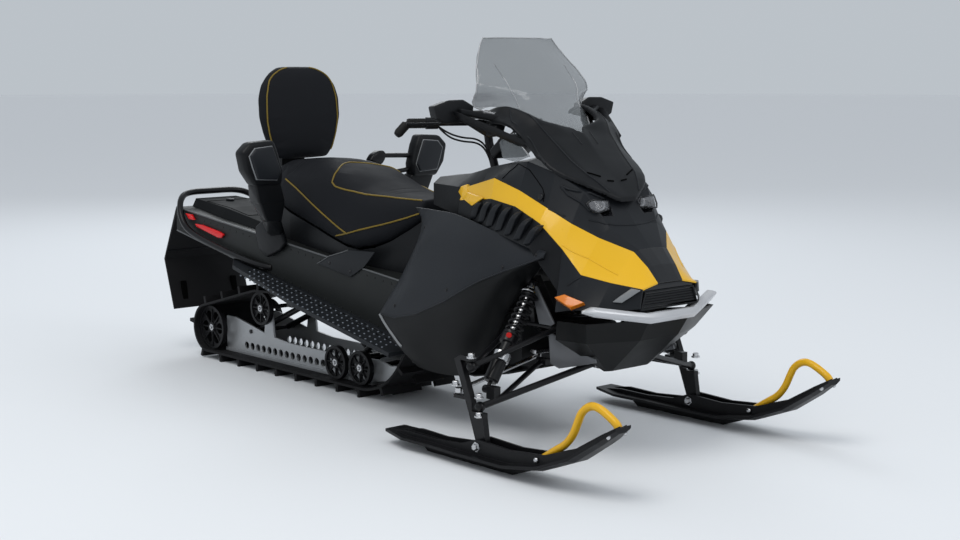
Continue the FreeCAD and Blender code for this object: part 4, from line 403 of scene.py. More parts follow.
def shock_rings(name, rings, chamfer, material):
    """Rings round both shocks: how far down, as a share, with radius and length."""
    mesh = bmesh.new()
    for top, foot in both((shock_top, shock_foot)):
        for share, radius, long in rings:
            turned(mesh, ((0.012, 0), (radius - chamfer, 0), (radius, chamfer), (radius, long - chamfer),
                          (radius - chamfer, long), (0.012, long)), top.lerp(foot, share), foot)
    place(name, closed_up(mesh), material)


collar_rings = ((0.01, 0.0155, 0.02), (0.085, 0.033, 0.008), (0.12, 0.0125, 0.16), (0.665, 0.0315, 0.032))
shock_rings("shock_collars", collar_rings, 0.002, bright_steel)
shock_rings("shock_sleeves", ((0.47, 0.030, 0.045), (0.745, 0.0265, 0.075)), 0.003, arm_paint)
knobs = bmesh.new()
for top, foot in both((shock_top, shock_foot)):
    middle = top.lerp(foot, 0.5)
    turned(knobs, ((0, 0.036), (0.008, 0.036), (0.01, 0.034), (0.01, 0.024), (0, 0.024)), middle,
           middle + Vector((0.6, math.copysign(0.8, top.y), 0.2)), 16)
place("shock_knobs", closed_up(knobs), knob_red)


def plate(name, outlines, reach, rounding, material, body="chassis", angle=35):
    """Flat plates: outlines given a thickness by a vector, with rounded edges."""
    mesh = bmesh.new()
    for outline in outlines:
        side = math.copysign(1, outline[0].y)
        face = mesh.faces.new([mesh.verts.new(spot) for spot in outline])
        grown = bmesh.ops.extrude_face_region(mesh, geom=[face])
        moved = [item for item in grown["geom"] if isinstance(item, bmesh.types.BMVert)]
        bmesh.ops.translate(mesh, verts=moved, vec=(reach[0], reach[1] * side, reach[2]))
    bmesh.ops.recalc_face_normals(mesh, faces=mesh.faces)
    rounded(mesh, rounding, 2)
    return place(name, mesh, material, body, angle)


def blocks(name, shapes, rounding, material, body="chassis", angle=35):
    """Solid blocks drawn tightly round sets of corner points, with rounded edges."""
    mesh = bmesh.new()
    for shape in shapes:
        corners = [mesh.verts.new(spot) for spot in shape]
        bmesh.ops.convex_hull(mesh, input=corners)
        bmesh.ops.delete(mesh, geom=[corner for corner in corners if not corner.link_faces], context="VERTS")
    bmesh.ops.dissolve_limit(mesh, angle_limit=math.radians(3), verts=mesh.verts, edges=mesh.edges)
    bmesh.ops.recalc_face_normals(mesh, faces=mesh.faces)
    rounded(mesh, rounding)
    return place(name, mesh, material, body, angle)


def thick(outline, reach):
    """An outline, and the same outline moved by a vector."""
    return [Vector(spot) for spot in outline] + [Vector(spot) + Vector(reach) for spot in outline]


tower_outline = lengthways(0.236, ((0.898, 0.572), (0.918, 0.572), (1.005, 0.452), (0.99, 0.442), (0.93, 0.442),
                                   (0.902, 0.53)))
plate("tower_castings", both(tower_outline), (0, -0.008, 0), 0.002, cast_metal)
frame_cheek = lengthways(0.196, ((0.943, 0.410), (0.981, 0.412), (1.019, 0.371), (1.168, 0.347), (1.172, 0.333),
                                 (0.995, 0.289), (0.952, 0.301)))
plate("frame_cheeks", both(frame_cheek), (0, 0.006, 0), 0.0015, cast_metal)
nuts = bmesh.new()
for side in (-1, 1):
    for station, across, level, radius in ((1.024, 0.214, 0.433, 0.011), (1.112, 0.128, 0.312, 0.011),
                                           (0.878, 0.226, 0.578, 0.009), (0.95, 0.478, 0.246, 0.008)):
        nut(nuts, (station, side * across, level), (1, 0, 0), radius, 0.009, radius * 1.5, 0.002)
place("suspension_nuts", closed_up(nuts), bright_steel)
ball_places = ((0.930, 0.549, 0.366), (0.972, 0.552, 0.236), (0.972, 0.552, 0.172), (0.855, 0.553, 0.262))
ball_nut = ((0, 0.012), (0.009, 0.012), (0.011, 0.010), (0.011, 0), (0.016, 0), (0.016, -0.006), (0, -0.006))
for label, side in (("right", -1), ("left", 1)):
    ball_nuts = bmesh.new()
    for station, across, level in ball_places:
        turned(ball_nuts, ball_nut, (station, side * across, level), (station, side * across, level + 1), 6)
    place("ball_nuts_" + label, closed_up(ball_nuts), bright_steel, label + "_spindle")

# The skis
# Moulded plastic skis with a yellow bent tube at the front to pull them by.
# A chrome bolt holds each ski to its spindle, and screws hold the tube.
ski_plastic = finish("ski plastic", (0.005, 0.005, 0.006), grey(0.05), 0.42)
loop_paint = finish("yellow tube paint", (0.72, 0.40, 0.012), (0.9, 0.6, 0.2), 0.35, coat=0.2)
paint(ski_plastic, "ski_left", "ski_right")
ski_side, bolt_station, bolt_level = 0.5385, 0.98, 0.07
loop_run = ((1.250, 0.070), (1.315, 0.113), (1.369, 0.144), (1.403, 0.185), (1.421, 0.227), (1.439, 0.264),
            (1.476, 0.288), (1.513, 0.286), (1.561, 0.263), (1.594, 0.242), (1.594, 0.228))
for label, side in (("right", -1), ("left", 1)):
    bolts = bmesh.new()
    for out in (-1, 1):
        nut(bolts, (bolt_station, side * ski_side + out * 0.036, bolt_level), (0, out, 0), 0.012, 0.010, 0.018, 0.004,
            inner=0.010)
    place("ski_bolts_" + label, closed_up(bolts), bright_steel, label + "_ski")
    studs = bmesh.new()
    for station, level in ((1.584, 0.214), (1.269, 0.080)):
        for out in (-1, 1):
            dome(studs, (station, side * ski_side + out * 0.037, level), (0, out, 0.1), 0.010, 0.6)
    place("ski_studs_" + label, studs, bright_steel, label + "_ski")
    run = lengthways(side * 0.539, loop_run)
    tube = bead("pull_loop_" + label, [run], 0.0135, loop_paint, label + "_ski", smooth=True)
    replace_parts(tube, "ski_loop_" + label)

# The belly pan and the side panels
# Injection-moulded black shells, clipped and screwed to the frame. Each side
# panel has a satin upper face over a hollow lower one, and the lower face is
# painted darker as painted shade.
charcoal_plastic = finish("charcoal plastic", (0.0095, 0.011, 0.0135), (0.05, 0.055, 0.06), 0.4)
black_plastic = finish("black plastic", (0.0055, 0.0062, 0.0075), grey(0.04), 0.42)
# Near-black, matte finish laid into seams, slots and grooves: painted shade inside the gaps.
gap_painted_shade = finish("painted shade in gaps", grey(0.001), grey(0.002), 0.8, specular=0.05)
# Grey for real grey trim, such as the grille struts, and for beads that are painted highlights on edges.
grey_trim_and_highlight = finish("grey trim and painted highlight", (0.20, 0.21, 0.22), grey(0.4), 0.4)
belly_plastic = finish("belly plastic", (0.0028, 0.0032, 0.0036), grey(0.03), 0.35, specular=0.14)
paint(belly_plastic, "belly_pan")


def skin(node):
    """A CAD node's surface, to lay lines on."""
    mesh = copied(node)
    tree = BVHTree.FromBMesh(mesh)
    mesh.free()
    return tree


def laid(surface, spots, lift=0.0, step=0.012):
    """A line of points laid on the outside of a surface."""
    spots = [Vector(spot) for spot in spots]
    line = []
    for start, end in zip(spots, spots[1:]):
        count = max(1, round((end - start).length / step))
        line += [start.lerp(end, index / count) for index in range(count)]
    line.append(spots[-1])
    found = []
    for spot in line:
        near, normal, _, _ = surface.find_nearest(spot + Vector((0, spot.y, 0.2)).normalized() * 0.006)
        found.append(near + normal * lift)
    return found


def eased(value, low, high):
    """A smooth step from 0 at the low value to 1 at the high one."""
    share = min(1, max(0, (value - low) / (high - low)))
    return share * share * (3 - 2 * share)


lean_start, lean_end = 0.62, 1.10
lean_back, lean_in, lean_down = 0.069, 0.062, 0.0095


def leaning_in(spot):
    """Draws the front of a side panel in towards the bonnet."""
    share = eased(spot.x, lean_start, lean_end)
    spot.y -= math.copysign(lean_in * share, spot.y)
    spot.x -= lean_back * share
    spot.z -= lean_down * share


def painted_shade_below(material, line, colour):
    """Paints shade into a finish: below a line of stations and levels it turns darker, as painted shade on the hollow
    lower face.
    """
    tree = material.node_tree
    shader = tree.nodes["Principled BSDF"]
    upper = shader.inputs["Base Color"].links[0].from_socket
    own = new_node(tree, "TexCoord").outputs["Object"]
    split = new_node(tree, "SeparateXYZ", {0: own}).outputs
    along = new_node(tree, "MapRange", {"Value": split["X"], "From Min": line[0][0], "From Max": line[-1][0]})
    border = new_node(tree, "FloatCurve", {"Value": along.outputs[0]})
    points = border.mapping.curves[0].points
    for index, (station, level) in enumerate(line):
        spot = ((station - line[0][0]) / (line[-1][0] - line[0][0]), level)
        if 0 < index < len(line) - 1:
            points.new(*spot)
        else:
            points[0 if index == 0 else -1].location = spot
    for point in points:
        point.handle_type = "VECTOR"
    border.mapping.update()
    above = new_node(tree, "Math", {0: split["Z"], 1: border.outputs[0]}, operation="SUBTRACT")
    # The mask for the painted shade: 0 below the line, 1 above it.
    edge = new_node(tree, "MapRange", {"Value": above.outputs[0], "From Min": -0.001, "From Max": 0.001})
    tones = new_node(tree, "Mix", {"Factor": edge.outputs[0], "A": tuple(colour) + (1,), "B": upper}, data_type="RGBA")
    dial(shader, {"Base Color": tones.outputs["Result"]})


crease = [Vector(spot) for spot in (
    (1.1, -0.3845, 0.697), (1.022, -0.3855, 0.668), (0.915, -0.3845, 0.634), (0.782, -0.3845, 0.586),
    (0.6, -0.3845, 0.497), (0.44, -0.3845, 0.432), (0.318, -0.383, 0.404), (0.226, -0.3805, 0.408))]
panels = copied("side_panels")
for spot in crease + [vertex.co for vertex in panels.verts]:
    leaning_in(spot)
panel_skin = BVHTree.FromBMesh(panels)
panel_plastic_painted_shade = finish("panel plastic with painted shade", (0.014, 0.016, 0.0195), (0.06, 0.065, 0.07), 0.4)
# Below the crease the side panels are painted near-black: painted shade on the hollow lower face.
painted_shade_below(panel_plastic_painted_shade, [(spot.x, spot.z) for spot in crease[::-1]], (0.003, 0.0034, 0.004))
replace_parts(place("panel_shells", panels, panel_plastic_painted_shade), "side_panels")
bead("side_panel_creases", both(laid(panel_skin, crease, -0.0008)), 0.0035, panel_plastic_painted_shade)
# Grey beads along the panels' rear lower edges: painted highlight on the dark rounded border.
heel = [(0.226, -0.381, 0.404), (0.245, -0.378, 0.38), (0.28, -0.374, 0.345), (0.335, -0.369, 0.29)]
bead("side_panel_heels", both(laid(panel_skin, heel, 0.0)), 0.0055, grey_trim_and_highlight)
screws = bmesh.new()
for station, across, level in ((1.0, -0.36, 0.705), (0.62, -0.31, 0.71), (0.34, -0.26, 0.74), (0.3, -0.372, 0.45),
                               (0.6, -0.37, 0.54), (0.86, -0.365, 0.65)):
    near, normal, _, _ = panel_skin.find_nearest(Vector((station, across - 0.01, level)))
    for spot, out in both((near, normal)):
        dome(screws, spot, out, 0.007, 0.4)
place("side_panel_screws", screws, arm_paint)

# The bonnet
# Moulded shells over the engine: black in the middle and below, yellow between.
# Air leaves through seven curved fins on each side.
yellow_gloss = finish("yellow gloss", (0.74, 0.42, 0.008), (0.9, 0.6, 0.1), 0.3, grain=300,
                      depth=0.004, coat=0.25, vary=0.02, wear=0.1, specular=0.3)
black_gloss = finish("black gloss", (0.006, 0.0065, 0.008), grey(0.05), 0.24, grain=300,
                     depth=0.004, coat=0.35)
silver_plastic = finish("silver plastic", (0.52, 0.53, 0.55), grey(0.8), 0.3, metallic=0.35,
                        coat=0.3)
amber_lens = finish("amber lens", (0.62, 0.17, 0.01), (0.6, 0.2, 0.02), 0.18, coat=0.6, grain=160,
                    depth=0.3)
paint(charcoal_plastic, "cowl", "nose_sides")
paint(black_gloss, "nose_cover")
paint(yellow_gloss, "hood_panels")
paint(black_plastic, "side_vents", "grille")
bumper = copied("front_bumper")
bumper_rise, bumper_drop = 0.034, 0.010
for vertex in bumper.verts:
    vertex.co.z += bumper_rise * eased(abs(vertex.co.y), 0.10, 0.335) - bumper_drop
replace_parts(place("bumper_tube", bumper, silver_plastic), "front_bumper")
cowl_skin, hood_skin, nose_skin = skin("cowl"), skin("hood_panels"), skin("nose_sides")
storage = [(0.734, -0.227, 0.935), (0.741, -0.199, 0.959), (0.765, -0.181, 0.985), (0.858, -0.215, 0.969),
           (0.907, -0.224, 0.935), (0.940, -0.231, 0.910), (0.955, -0.237, 0.890), (0.960, -0.246, 0.866)]
# Thin near-black beads along the storage lid's seams: painted shade in the gaps.
bead("storage_seam_shade", both(laid(cowl_skin, storage, 0.0003)), 0.0016, gap_painted_shade)
brow = [(1.006, -0.204, 0.921), (1.03, -0.195, 0.912), (1.052, -0.176, 0.905), (1.079, -0.126, 0.893),
        (1.091, -0.082, 0.874)]
lid = [(1.006, -0.205, 0.919), (1.032, -0.197, 0.892), (1.081, -0.172, 0.862), (1.102, -0.16, 0.838)]
chin = [(1.124, -0.152, 0.805), (1.142, -0.127, 0.795), (1.152, -0.076, 0.788), (1.162, 0.0, 0.784),
        (1.152, 0.076, 0.788), (1.142, 0.127, 0.795), (1.124, 0.152, 0.805)]
cheek = [(0.985, -0.243, 0.842), (1.04, -0.22, 0.82), (1.124, -0.152, 0.803)]
bead("lamp_brows", both(laid(cowl_skin, brow, 0.001), laid(cowl_skin, lid, 0.001)), 0.005, charcoal_plastic)
bead("cowl_creases", [laid(cowl_skin, chin, 0.0)] + both(laid(cowl_skin, cheek, 0.0)), 0.0028, charcoal_plastic)
shoulder = [(1.09, -0.29, 0.745), (1.128, -0.27, 0.724), (1.171, -0.235, 0.701), (1.25, -0.175, 0.65)]
bead("hood_creases", both(laid(hood_skin, shoulder, -0.0008)), 0.0028, yellow_gloss)
tail_high = [(0.440, -0.178, 0.866), (0.450, -0.173, 0.888), (0.492, -0.180, 0.899), (0.503, -0.213, 0.848),
             (0.530, -0.212, 0.872)]
tail_low = [(0.503, -0.213, 0.848), (0.587, -0.243, 0.829), (0.606, -0.243, 0.846), (0.652, -0.249, 0.861),
            (0.530, -0.212, 0.872)]
blocks("yellow_tails", both(thick(tail_high, (0.004, 0.012, -0.003)), thick(tail_low, (0.004, 0.014, 0.002))), 0.002,
       yellow_gloss)
knob = bmesh.new()
near, normal, _, _ = cowl_skin.find_nearest(Vector((0.944, -0.243, 0.884)))
for spot, out in both((near, normal)):
    turned(knob, ((0, 0.009), (0.009, 0.009), (0.012, 0.006), (0.012, -0.001), (0, -0.001)), spot, spot + out, 20)
place("storage_knobs", closed_up(knob), black_gloss)

fin_roots = ((0.480, 0.205, 0.840, 0.2145, 0.786), (0.700, 0.250, 0.862, 0.277, 0.760),
             (0.840, 0.265, 0.845, 0.307, 0.740), (0.980, 0.285, 0.800, 0.333, 0.717),
             (1.070, 0.264, 0.716, 0.272, 0.560))


def vent_spot(station, share):
    """A point of the right-hand vent, from its upper edge at share 0 to its lower edge at 1.

    A row of fin_roots is a station, then the side and level of its upper and of its lower edge.
    """
    for rear, front in zip(fin_roots, fin_roots[1:]):
        if station <= front[0]:
            break
    part = (station - rear[0]) / (front[0] - rear[0])
    row = [a + (b - a) * part for a, b in zip(rear, front)]
    return Vector((station, -(row[1] + (row[3] - row[1]) * share), row[2] + (row[4] - row[2]) * share))


fins = []
fin_step = 0.0605
out = Vector((0.25, -0.86, 0.45)).normalized()
for index in range(7):
    station = 0.615 + index * fin_step
    high, middle, low = vent_spot(station, 0.12), vent_spot(station - 0.012, 0.5), vent_spot(station - 0.03, 0.97)
    fins.append([high - out * 0.003, high + out * 0.007, high.lerp(middle, 0.5) + out * 0.020,
                 middle + out * 0.024, low + out * 0.013, low - out * 0.003])
plate("vent_fins", both(*fins), (0.030, -0.004, 0.004), 0.005, charcoal_plastic)

reflector = [(1.091, -0.321, 0.562), (1.118, -0.301, 0.573), (1.196, -0.287, 0.553), (1.160, -0.317, 0.534)]
blocks("side_reflectors", both(thick(reflector, (-0.006, 0.016, -0.0135))), 0.0015, amber_lens)
strut = [(1.261, -0.216, 0.553), (1.283, -0.196, 0.551), (1.322, -0.146, 0.592), (1.303, -0.167, 0.597)]
blocks("grille_struts", both(thick(strut, (-0.014, 0.008, 0.0))), 0.002, grey_trim_and_highlight)
lip = [(1.313, -0.140, 0.590), (1.316, -0.062, 0.606), (1.316, 0.062, 0.606), (1.313, 0.140, 0.590),
       (1.313, 0.140, 0.573), (1.313, -0.140, 0.573)]
blocks("grille_lip", [thick(lip, (-0.016, 0, -0.002))], 0.002, black_gloss)
facet = [(1.113, -0.280, 0.597), (1.155, -0.255, 0.628)]
bead("nose_creases", both(laid(nose_skin, facet, 0.0)), 0.0028, charcoal_plastic)


def clear_plastic(name, colour, roughness, through, coat=0.4):
    """See-through plastic that keeps a plain shadow."""
    material, shader = blank(name)
    tree = material.node_tree
    tone = new_node(tree, "Group", node_tree=surface_grain).outputs["Tone"]
    dark, light = (tuple(c * share for c in colour) + (1,) for share in (0.94, 1.06))
    tones = new_node(tree, "Mix", {"Factor": tone, "A": dark, "B": light}, data_type="RGBA")
    dial(shader, {"Base Color": tones.outputs["Result"], "Roughness": roughness, "Alpha": 1 - through,
                  "Coat Weight": coat})
    return material


# The headlamps
# Two projector lamps look out of scoops in the cowl, each behind a clear,
# faceted cover.
lens_clear = clear_plastic("lens clear", (0.30, 0.31, 0.33), 0.05, 0.62)
paint(black_gloss, "headlamps")
cover = [(1.094, -0.169, 0.870), (1.103, -0.153, 0.879), (1.107, -0.082, 0.872), (1.107, -0.076, 0.842),
         (1.123, -0.149, 0.836), (1.107, -0.167, 0.848)]
blocks("lamp_covers", both(thick(cover, (-0.03, 0.010, -0.006)) + [Vector((1.122, -0.122, 0.858))]), 0.0022, lens_clear)
bead("lamp_frames", both(cover), 0.003, black_gloss, closed=True)
bowls = bmesh.new()
eyes = bmesh.new()
for side in (1, -1):
    for across, radius in ((-0.102, 0.0155), (-0.140, 0.0125)):
        seat_at = Vector((1.092 + (across + 0.098) * 0.25, across * side, 0.856))
        ahead = seat_at + Vector((1, across * side * 0.9, 0.1))
        turned(bowls, ((radius * 0.5, -0.012), (radius, 0.004), (radius + 0.002, 0.004), (radius + 0.002, -0.014)),
               seat_at, ahead, 20)
        dome(eyes, seat_at + Vector((-0.004, 0, 0)), ahead - seat_at, radius * 0.75, 0.7)
place("lamp_bowls", closed_up(bowls), silver_plastic)
place("lamp_eyes", eyes, black_gloss)

# The windshield
# A smoked polycarbonate screen stands in a black two-lobed deflector, with a
# small clear wing on each side below the mirrors.
smoke_screen = clear_plastic("smoke screen", (0.16, 0.175, 0.185), 0.08, 0.52, 0.15)
# A lighter clear plastic for the screen's rim, folds and wing edges: painted highlight along them.
screen_edge_highlight = clear_plastic("screen edge with painted highlight", (0.45, 0.46, 0.48), 0.1, 0.25)


def between(table, value):
    """A value read off a table of steps, on straight lines between them."""
    for low, high in zip(table, table[1:]):
        if value <= high[0]:
            break
    share = min(1, max(0, (value - low[0]) / (high[0] - low[0])))
    return low[1] + (high[1] - low[1]) * share


def smoothed(mesh, rounds):
    """Smooths a mesh a few times over."""
    for _ in range(rounds):
        bmesh.ops.smooth_vert(mesh, verts=mesh.verts, factor=0.5, use_axis_x=True, use_axis_y=True, use_axis_z=True)


def resurfaced(mesh, voxel, rounds):
    """A mesh's surface drawn again in even squares and smoothed a little."""
    data = bpy.data.meshes.new("even")
    mesh.to_mesh(data)
    mesh.free()
    shape = bpy.data.objects.new("even", data)
    scene.collection.objects.link(shape)
    even = shape.modifiers.new("even", "REMESH")
    even.mode = "VOXEL"
    even.voxel_size = voxel
    squares = bmesh.new()
    squares.from_mesh(shape.evaluated_get(bpy.context.evaluated_depsgraph_get()).data)
    bpy.data.objects.remove(shape)
    smoothed(squares, rounds)
    return squares


deflector = resurfaced(copied("windshield_base"), 0.005, 2)
lobe_forward, lobe_out = 0.045, 0.036
for vertex in deflector.verts:
    out, level = abs(vertex.co.y), vertex.co.z
    vertex.co.x += lobe_forward * (1 - eased(out, 0.09, 0.19)) * eased(out, 0.03, 0.08) * eased(level, 1.08, 1.17)
    vertex.co.y += math.copysign(lobe_out * eased(out, 0.03, 0.11) * eased(level, 0.99, 1.14), vertex.co.y)
smoothed(deflector, 3)
base_skin = BVHTree.FromBMesh(deflector)
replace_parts(place("deflector", deflector, black_plastic), "windshield_base")
screen_widening = ((1.09, 2.2), (1.128, 1.9), (1.155, 1.65), (1.185, 1.38), (1.204, 1.24), (1.225, 1.18), (1.43, 1.0))
screen_swell, screen_half = 0.075, 0.227
screen = copied("windshield")
for vertex in screen.verts:
    fade = eased(vertex.co.z, 1.17, 1.26) * (1 - eased(vertex.co.z, 1.22, 1.46))
    vertex.co.x += screen_swell * fade * min(1, abs(vertex.co.y) / screen_half) ** 2
    vertex.co.y *= between(screen_widening, vertex.co.z)
screen_spots = [vertex.co.copy() for vertex in screen.verts]
screen_skin = BVHTree.FromBMesh(screen)
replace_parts(place("screen", screen, smoke_screen), "windshield")
rim = []
rim_start, rim_step, rim_window = -42, 4.8, math.radians(3.5)
middle = Vector((0, 1.26))
for index in range(56):
    around = math.radians(rim_start + index * rim_step)
    toward = Vector((math.cos(around), math.sin(around)))
    ahead = [spot for spot in screen_spots if (spot.yz - middle).angle(toward, 0) < rim_window]
    far = max(ahead, key=lambda spot: (spot.yz - middle).length)
    close = [spot for spot in ahead if (spot.yz - far.yz).length < 0.003]
    edge_spot = sum(close, Vector()) / len(close)
    if not rim or (edge_spot - rim[-1]).length > 0.012:
        rim.append(edge_spot)
# A lighter bead round the screen's rim: painted highlight on its edge.
bead("screen_rim", [rim], 0.0026, screen_edge_highlight)
# Lighter beads along the screen's folds: painted highlight on them.
fold = laid(screen_skin, [(0.627, -0.168, 1.325), (0.70, -0.167, 1.26), (0.767, -0.165, 1.195)], 0.0003)
bead("screen_folds", both(fold), 0.0018, screen_edge_highlight, smooth=True)
ridge_outer = [(0.736, -0.194, 1.178), (0.792, -0.232, 1.133), (0.870, -0.211, 1.062), (0.940, -0.216, 0.995)]
ridge_inner = [(0.812, -0.172, 1.165), (0.850, -0.164, 1.121), (0.893, -0.147, 1.073), (0.984, -0.132, 1.003),
               (1.047, -0.116, 0.956), (1.108, -0.072, 0.895)]
ridge_short = [(0.897, -0.042, 1.095), (0.943, -0.039, 1.053)]
bead("deflector_ridges", both(laid(base_skin, ridge_outer, 0.0), laid(base_skin, ridge_inner, 0.0)), 0.0032,
     charcoal_plastic)
bead("deflector_ribs", both(laid(base_skin, ridge_short, 0.0)), 0.0022, charcoal_plastic)
# Near-black beads in the deflector's slots: painted shade inside them.
slots = both(laid(base_skin, [(1.040, -0.111, 0.964), (1.059, -0.064, 0.950)], 0.0005),
             laid(base_skin, [(1.074, -0.046, 0.935), (1.078, -0.018, 0.934)], 0.0005))
bead("deflector_slot_shade", slots, 0.003, gap_painted_shade)
wing = [(0.700, 0.212, 1.060), (0.735, 0.214, 1.094), (0.80, 0.217, 1.07), (0.862, 0.219, 1.018),
        (0.80, 0.225, 0.995), (0.728, 0.222, 1.005)]
plate("clear_wings", both(wing), (0, -0.003, 0), 0.0008, smoke_screen)
# Lighter beads along the wings' front edges: painted highlight.
bead("wing_edges", both(wing[1:4]), 0.0028, screen_edge_highlight)

# The controls
# A bent steel bar with heated rubber grips, a thumb lever and a brake lever on
# a pressed console, and two mirrors on forked brackets.
grip_rubber = finish("grip rubber", grey(0.008), grey(0.04), 0.6, grain=400, depth=0.15)
mirror_glass = finish("mirror glass", (0.75, 0.77, 0.8), grey(0.8), 0.03, metallic=1.0, wear=0.0,
                      grain=50, depth=0.0, vary=0.02)
screen_dark = finish("display glass", (0.004, 0.005, 0.006), grey(0.01), 0.08, coat=0.8)
paint(black_plastic, "console", "bar_controls")
paint(arm_paint, "handlebar")
grips = bmesh.new()
for side in (-1, 1):
    bend, end = Vector((0.296, side * 0.300, 1.117)), Vector((0.290, side * 0.345, 1.075))
    inner = Vector((0.400, side * 0.090, 1.117))
    along = (bend - inner).normalized()
    start = bend - along * 0.066
    profile = [(0.0165, 0)]
    for index in range(9):
        profile += [(0.0185, index * 0.007 + 0.001), (0.0185, index * 0.007 + 0.0045), (0.0172, index * 0.007 + 0.006)]
    turned(grips, profile + [(0.0165, 0.066)], start, bend, 20)
    out = (end - bend).normalized()
    turned(grips, ((0.012, 0.006), (0.0175, 0.008), (0.0175, 0.05), (0.013, 0.0615), (0, 0.0615)), bend, bend + out, 20)
place("bar_grips", closed_up(grips), grip_rubber, "handlebar_assembly")
cables = []
for side, drop in ((-1, 0.0), (-1, 0.014), (1, 0.0), (1, 0.014)):
    cables.append([(0.352, side * 0.200, 1.106), (0.372, side * 0.175, 1.082 - drop),
                   (0.395, side * 0.12, 1.062 - drop), (0.412, side * 0.06, 1.058 - drop),
                   (0.424, side * 0.024, 1.03 - drop), (0.434, side * 0.014, 0.99 - drop)])
bead("bar_cables", cables, 0.0035, grip_rubber, "handlebar_assembly", smooth=True)


def rounded_box(name, size, where, rounding, material, body="chassis", segments=3):
    """A box with rounded edges, in a place."""
    mesh = bmesh.new()
    bmesh.ops.create_cube(mesh, size=1, matrix=where @ Matrix.Diagonal((*size, 1)))
    rounded(mesh, rounding, segments)
    place(name, mesh, material, body)


gauge_place = Matrix.Translation((0.555, 0, 1.035)) @ Matrix.Rotation(math.radians(-38), 4, "Y")
glass_place = gauge_place @ Matrix.Translation((0, 0, 0.0225))
rounded_box("bar_pad", (0.07, 0.15, 0.03), Matrix.Translation((0.400, 0, 1.146)), 0.011, grip_rubber,
            "handlebar_assembly")
rounded_box("gauge_case", (0.11, 0.17, 0.045), gauge_place, 0.014, black_plastic)
rounded_box("gauge_glass", (0.074, 0.135, 0.003), glass_place, 0.001, screen_dark, segments=2)
mirror_side, mirror_level = -0.356, 1.168
shell = crossways(0.630, ((-0.452, 1.190), (-0.384, 1.210), (-0.316, 1.211), (-0.268, 1.188), (-0.270, 1.156),
                          (-0.296, 1.132), (-0.402, 1.126), (-0.440, 1.146)))
shell_back = [(0.580, mirror_side + (y - mirror_side) * 0.88, mirror_level + (z - mirror_level) * 0.86)
              for x, y, z in shell]
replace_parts(blocks("mirror_shells", both(shell + shell_back), 0.006, black_plastic), "mirrors")
upper_arm = [(0.615, -0.345, 1.180), (0.615, -0.345, 1.158), (0.650, -0.345, 1.180), (0.650, -0.345, 1.158),
             (0.705, -0.190, 1.146), (0.705, -0.190, 1.122), (0.745, -0.190, 1.146), (0.745, -0.190, 1.122)]
lower_arm = [(0.615, -0.335, 1.160), (0.615, -0.328, 1.138), (0.640, -0.335, 1.160), (0.640, -0.328, 1.138),
             (0.668, -0.235, 1.098), (0.668, -0.240, 1.074), (0.720, -0.225, 1.104), (0.720, -0.230, 1.080)]
arm_web = [(0.680, -0.235, 1.142), (0.680, -0.262, 1.084), (0.690, -0.205, 1.138), (0.690, -0.225, 1.084),
           (0.720, -0.235, 1.142), (0.720, -0.262, 1.084), (0.735, -0.205, 1.138), (0.735, -0.225, 1.084)]
stay = [(0.618, -0.372, 1.172), (0.618, -0.350, 1.145), (0.655, -0.372, 1.172), (0.655, -0.340, 1.145),
        (0.820, -0.262, 1.088), (0.820, -0.232, 1.050), (0.865, -0.245, 1.078), (0.865, -0.222, 1.046)]
blocks("mirror_arms", both(upper_arm, lower_arm, arm_web, stay), 0.005, black_plastic)
faces = bmesh.new()
for side in (-1, 1):
    spot = Vector((0.5785, side * 0.358, 1.168))
    bmesh.ops.create_circle(faces, cap_ends=True, radius=1, segments=32, matrix=Matrix.Translation(spot)
                            @ Matrix.Rotation(math.pi / 2, 4, "Y") @ Matrix.Diagonal((0.028, 0.070, 1, 1)))
grown = bmesh.ops.extrude_face_region(faces, geom=faces.faces[:])
bmesh.ops.translate(faces, verts=[item for item in grown["geom"] if isinstance(item, bmesh.types.BMVert)],
                    vec=(0.003, 0, 0))
bmesh.ops.recalc_face_normals(faces, faces=faces.faces)
place("mirror_glasses", faces, mirror_glass)

# The seats
# Vinyl over foam, sewn in panels with olive-gold piping. Each cover is filled
# by simulation: it starts a little small and swells between its sewn lines.
seat_vinyl = finish("seat vinyl", (0.0125, 0.0135, 0.016), grey(0.03), 0.62, grain=620, depth=0.09,
                    radius=0.006, patch=4, specular=0.06)
piping = finish("olive piping", (0.18, 0.125, 0.02), (0.2, 0.15, 0.04), 0.5, grain=700, depth=0.08)
paint(seat_vinyl, "seat", "backrest")
paint(black_plastic, "seat_base", "backrest_bracket")


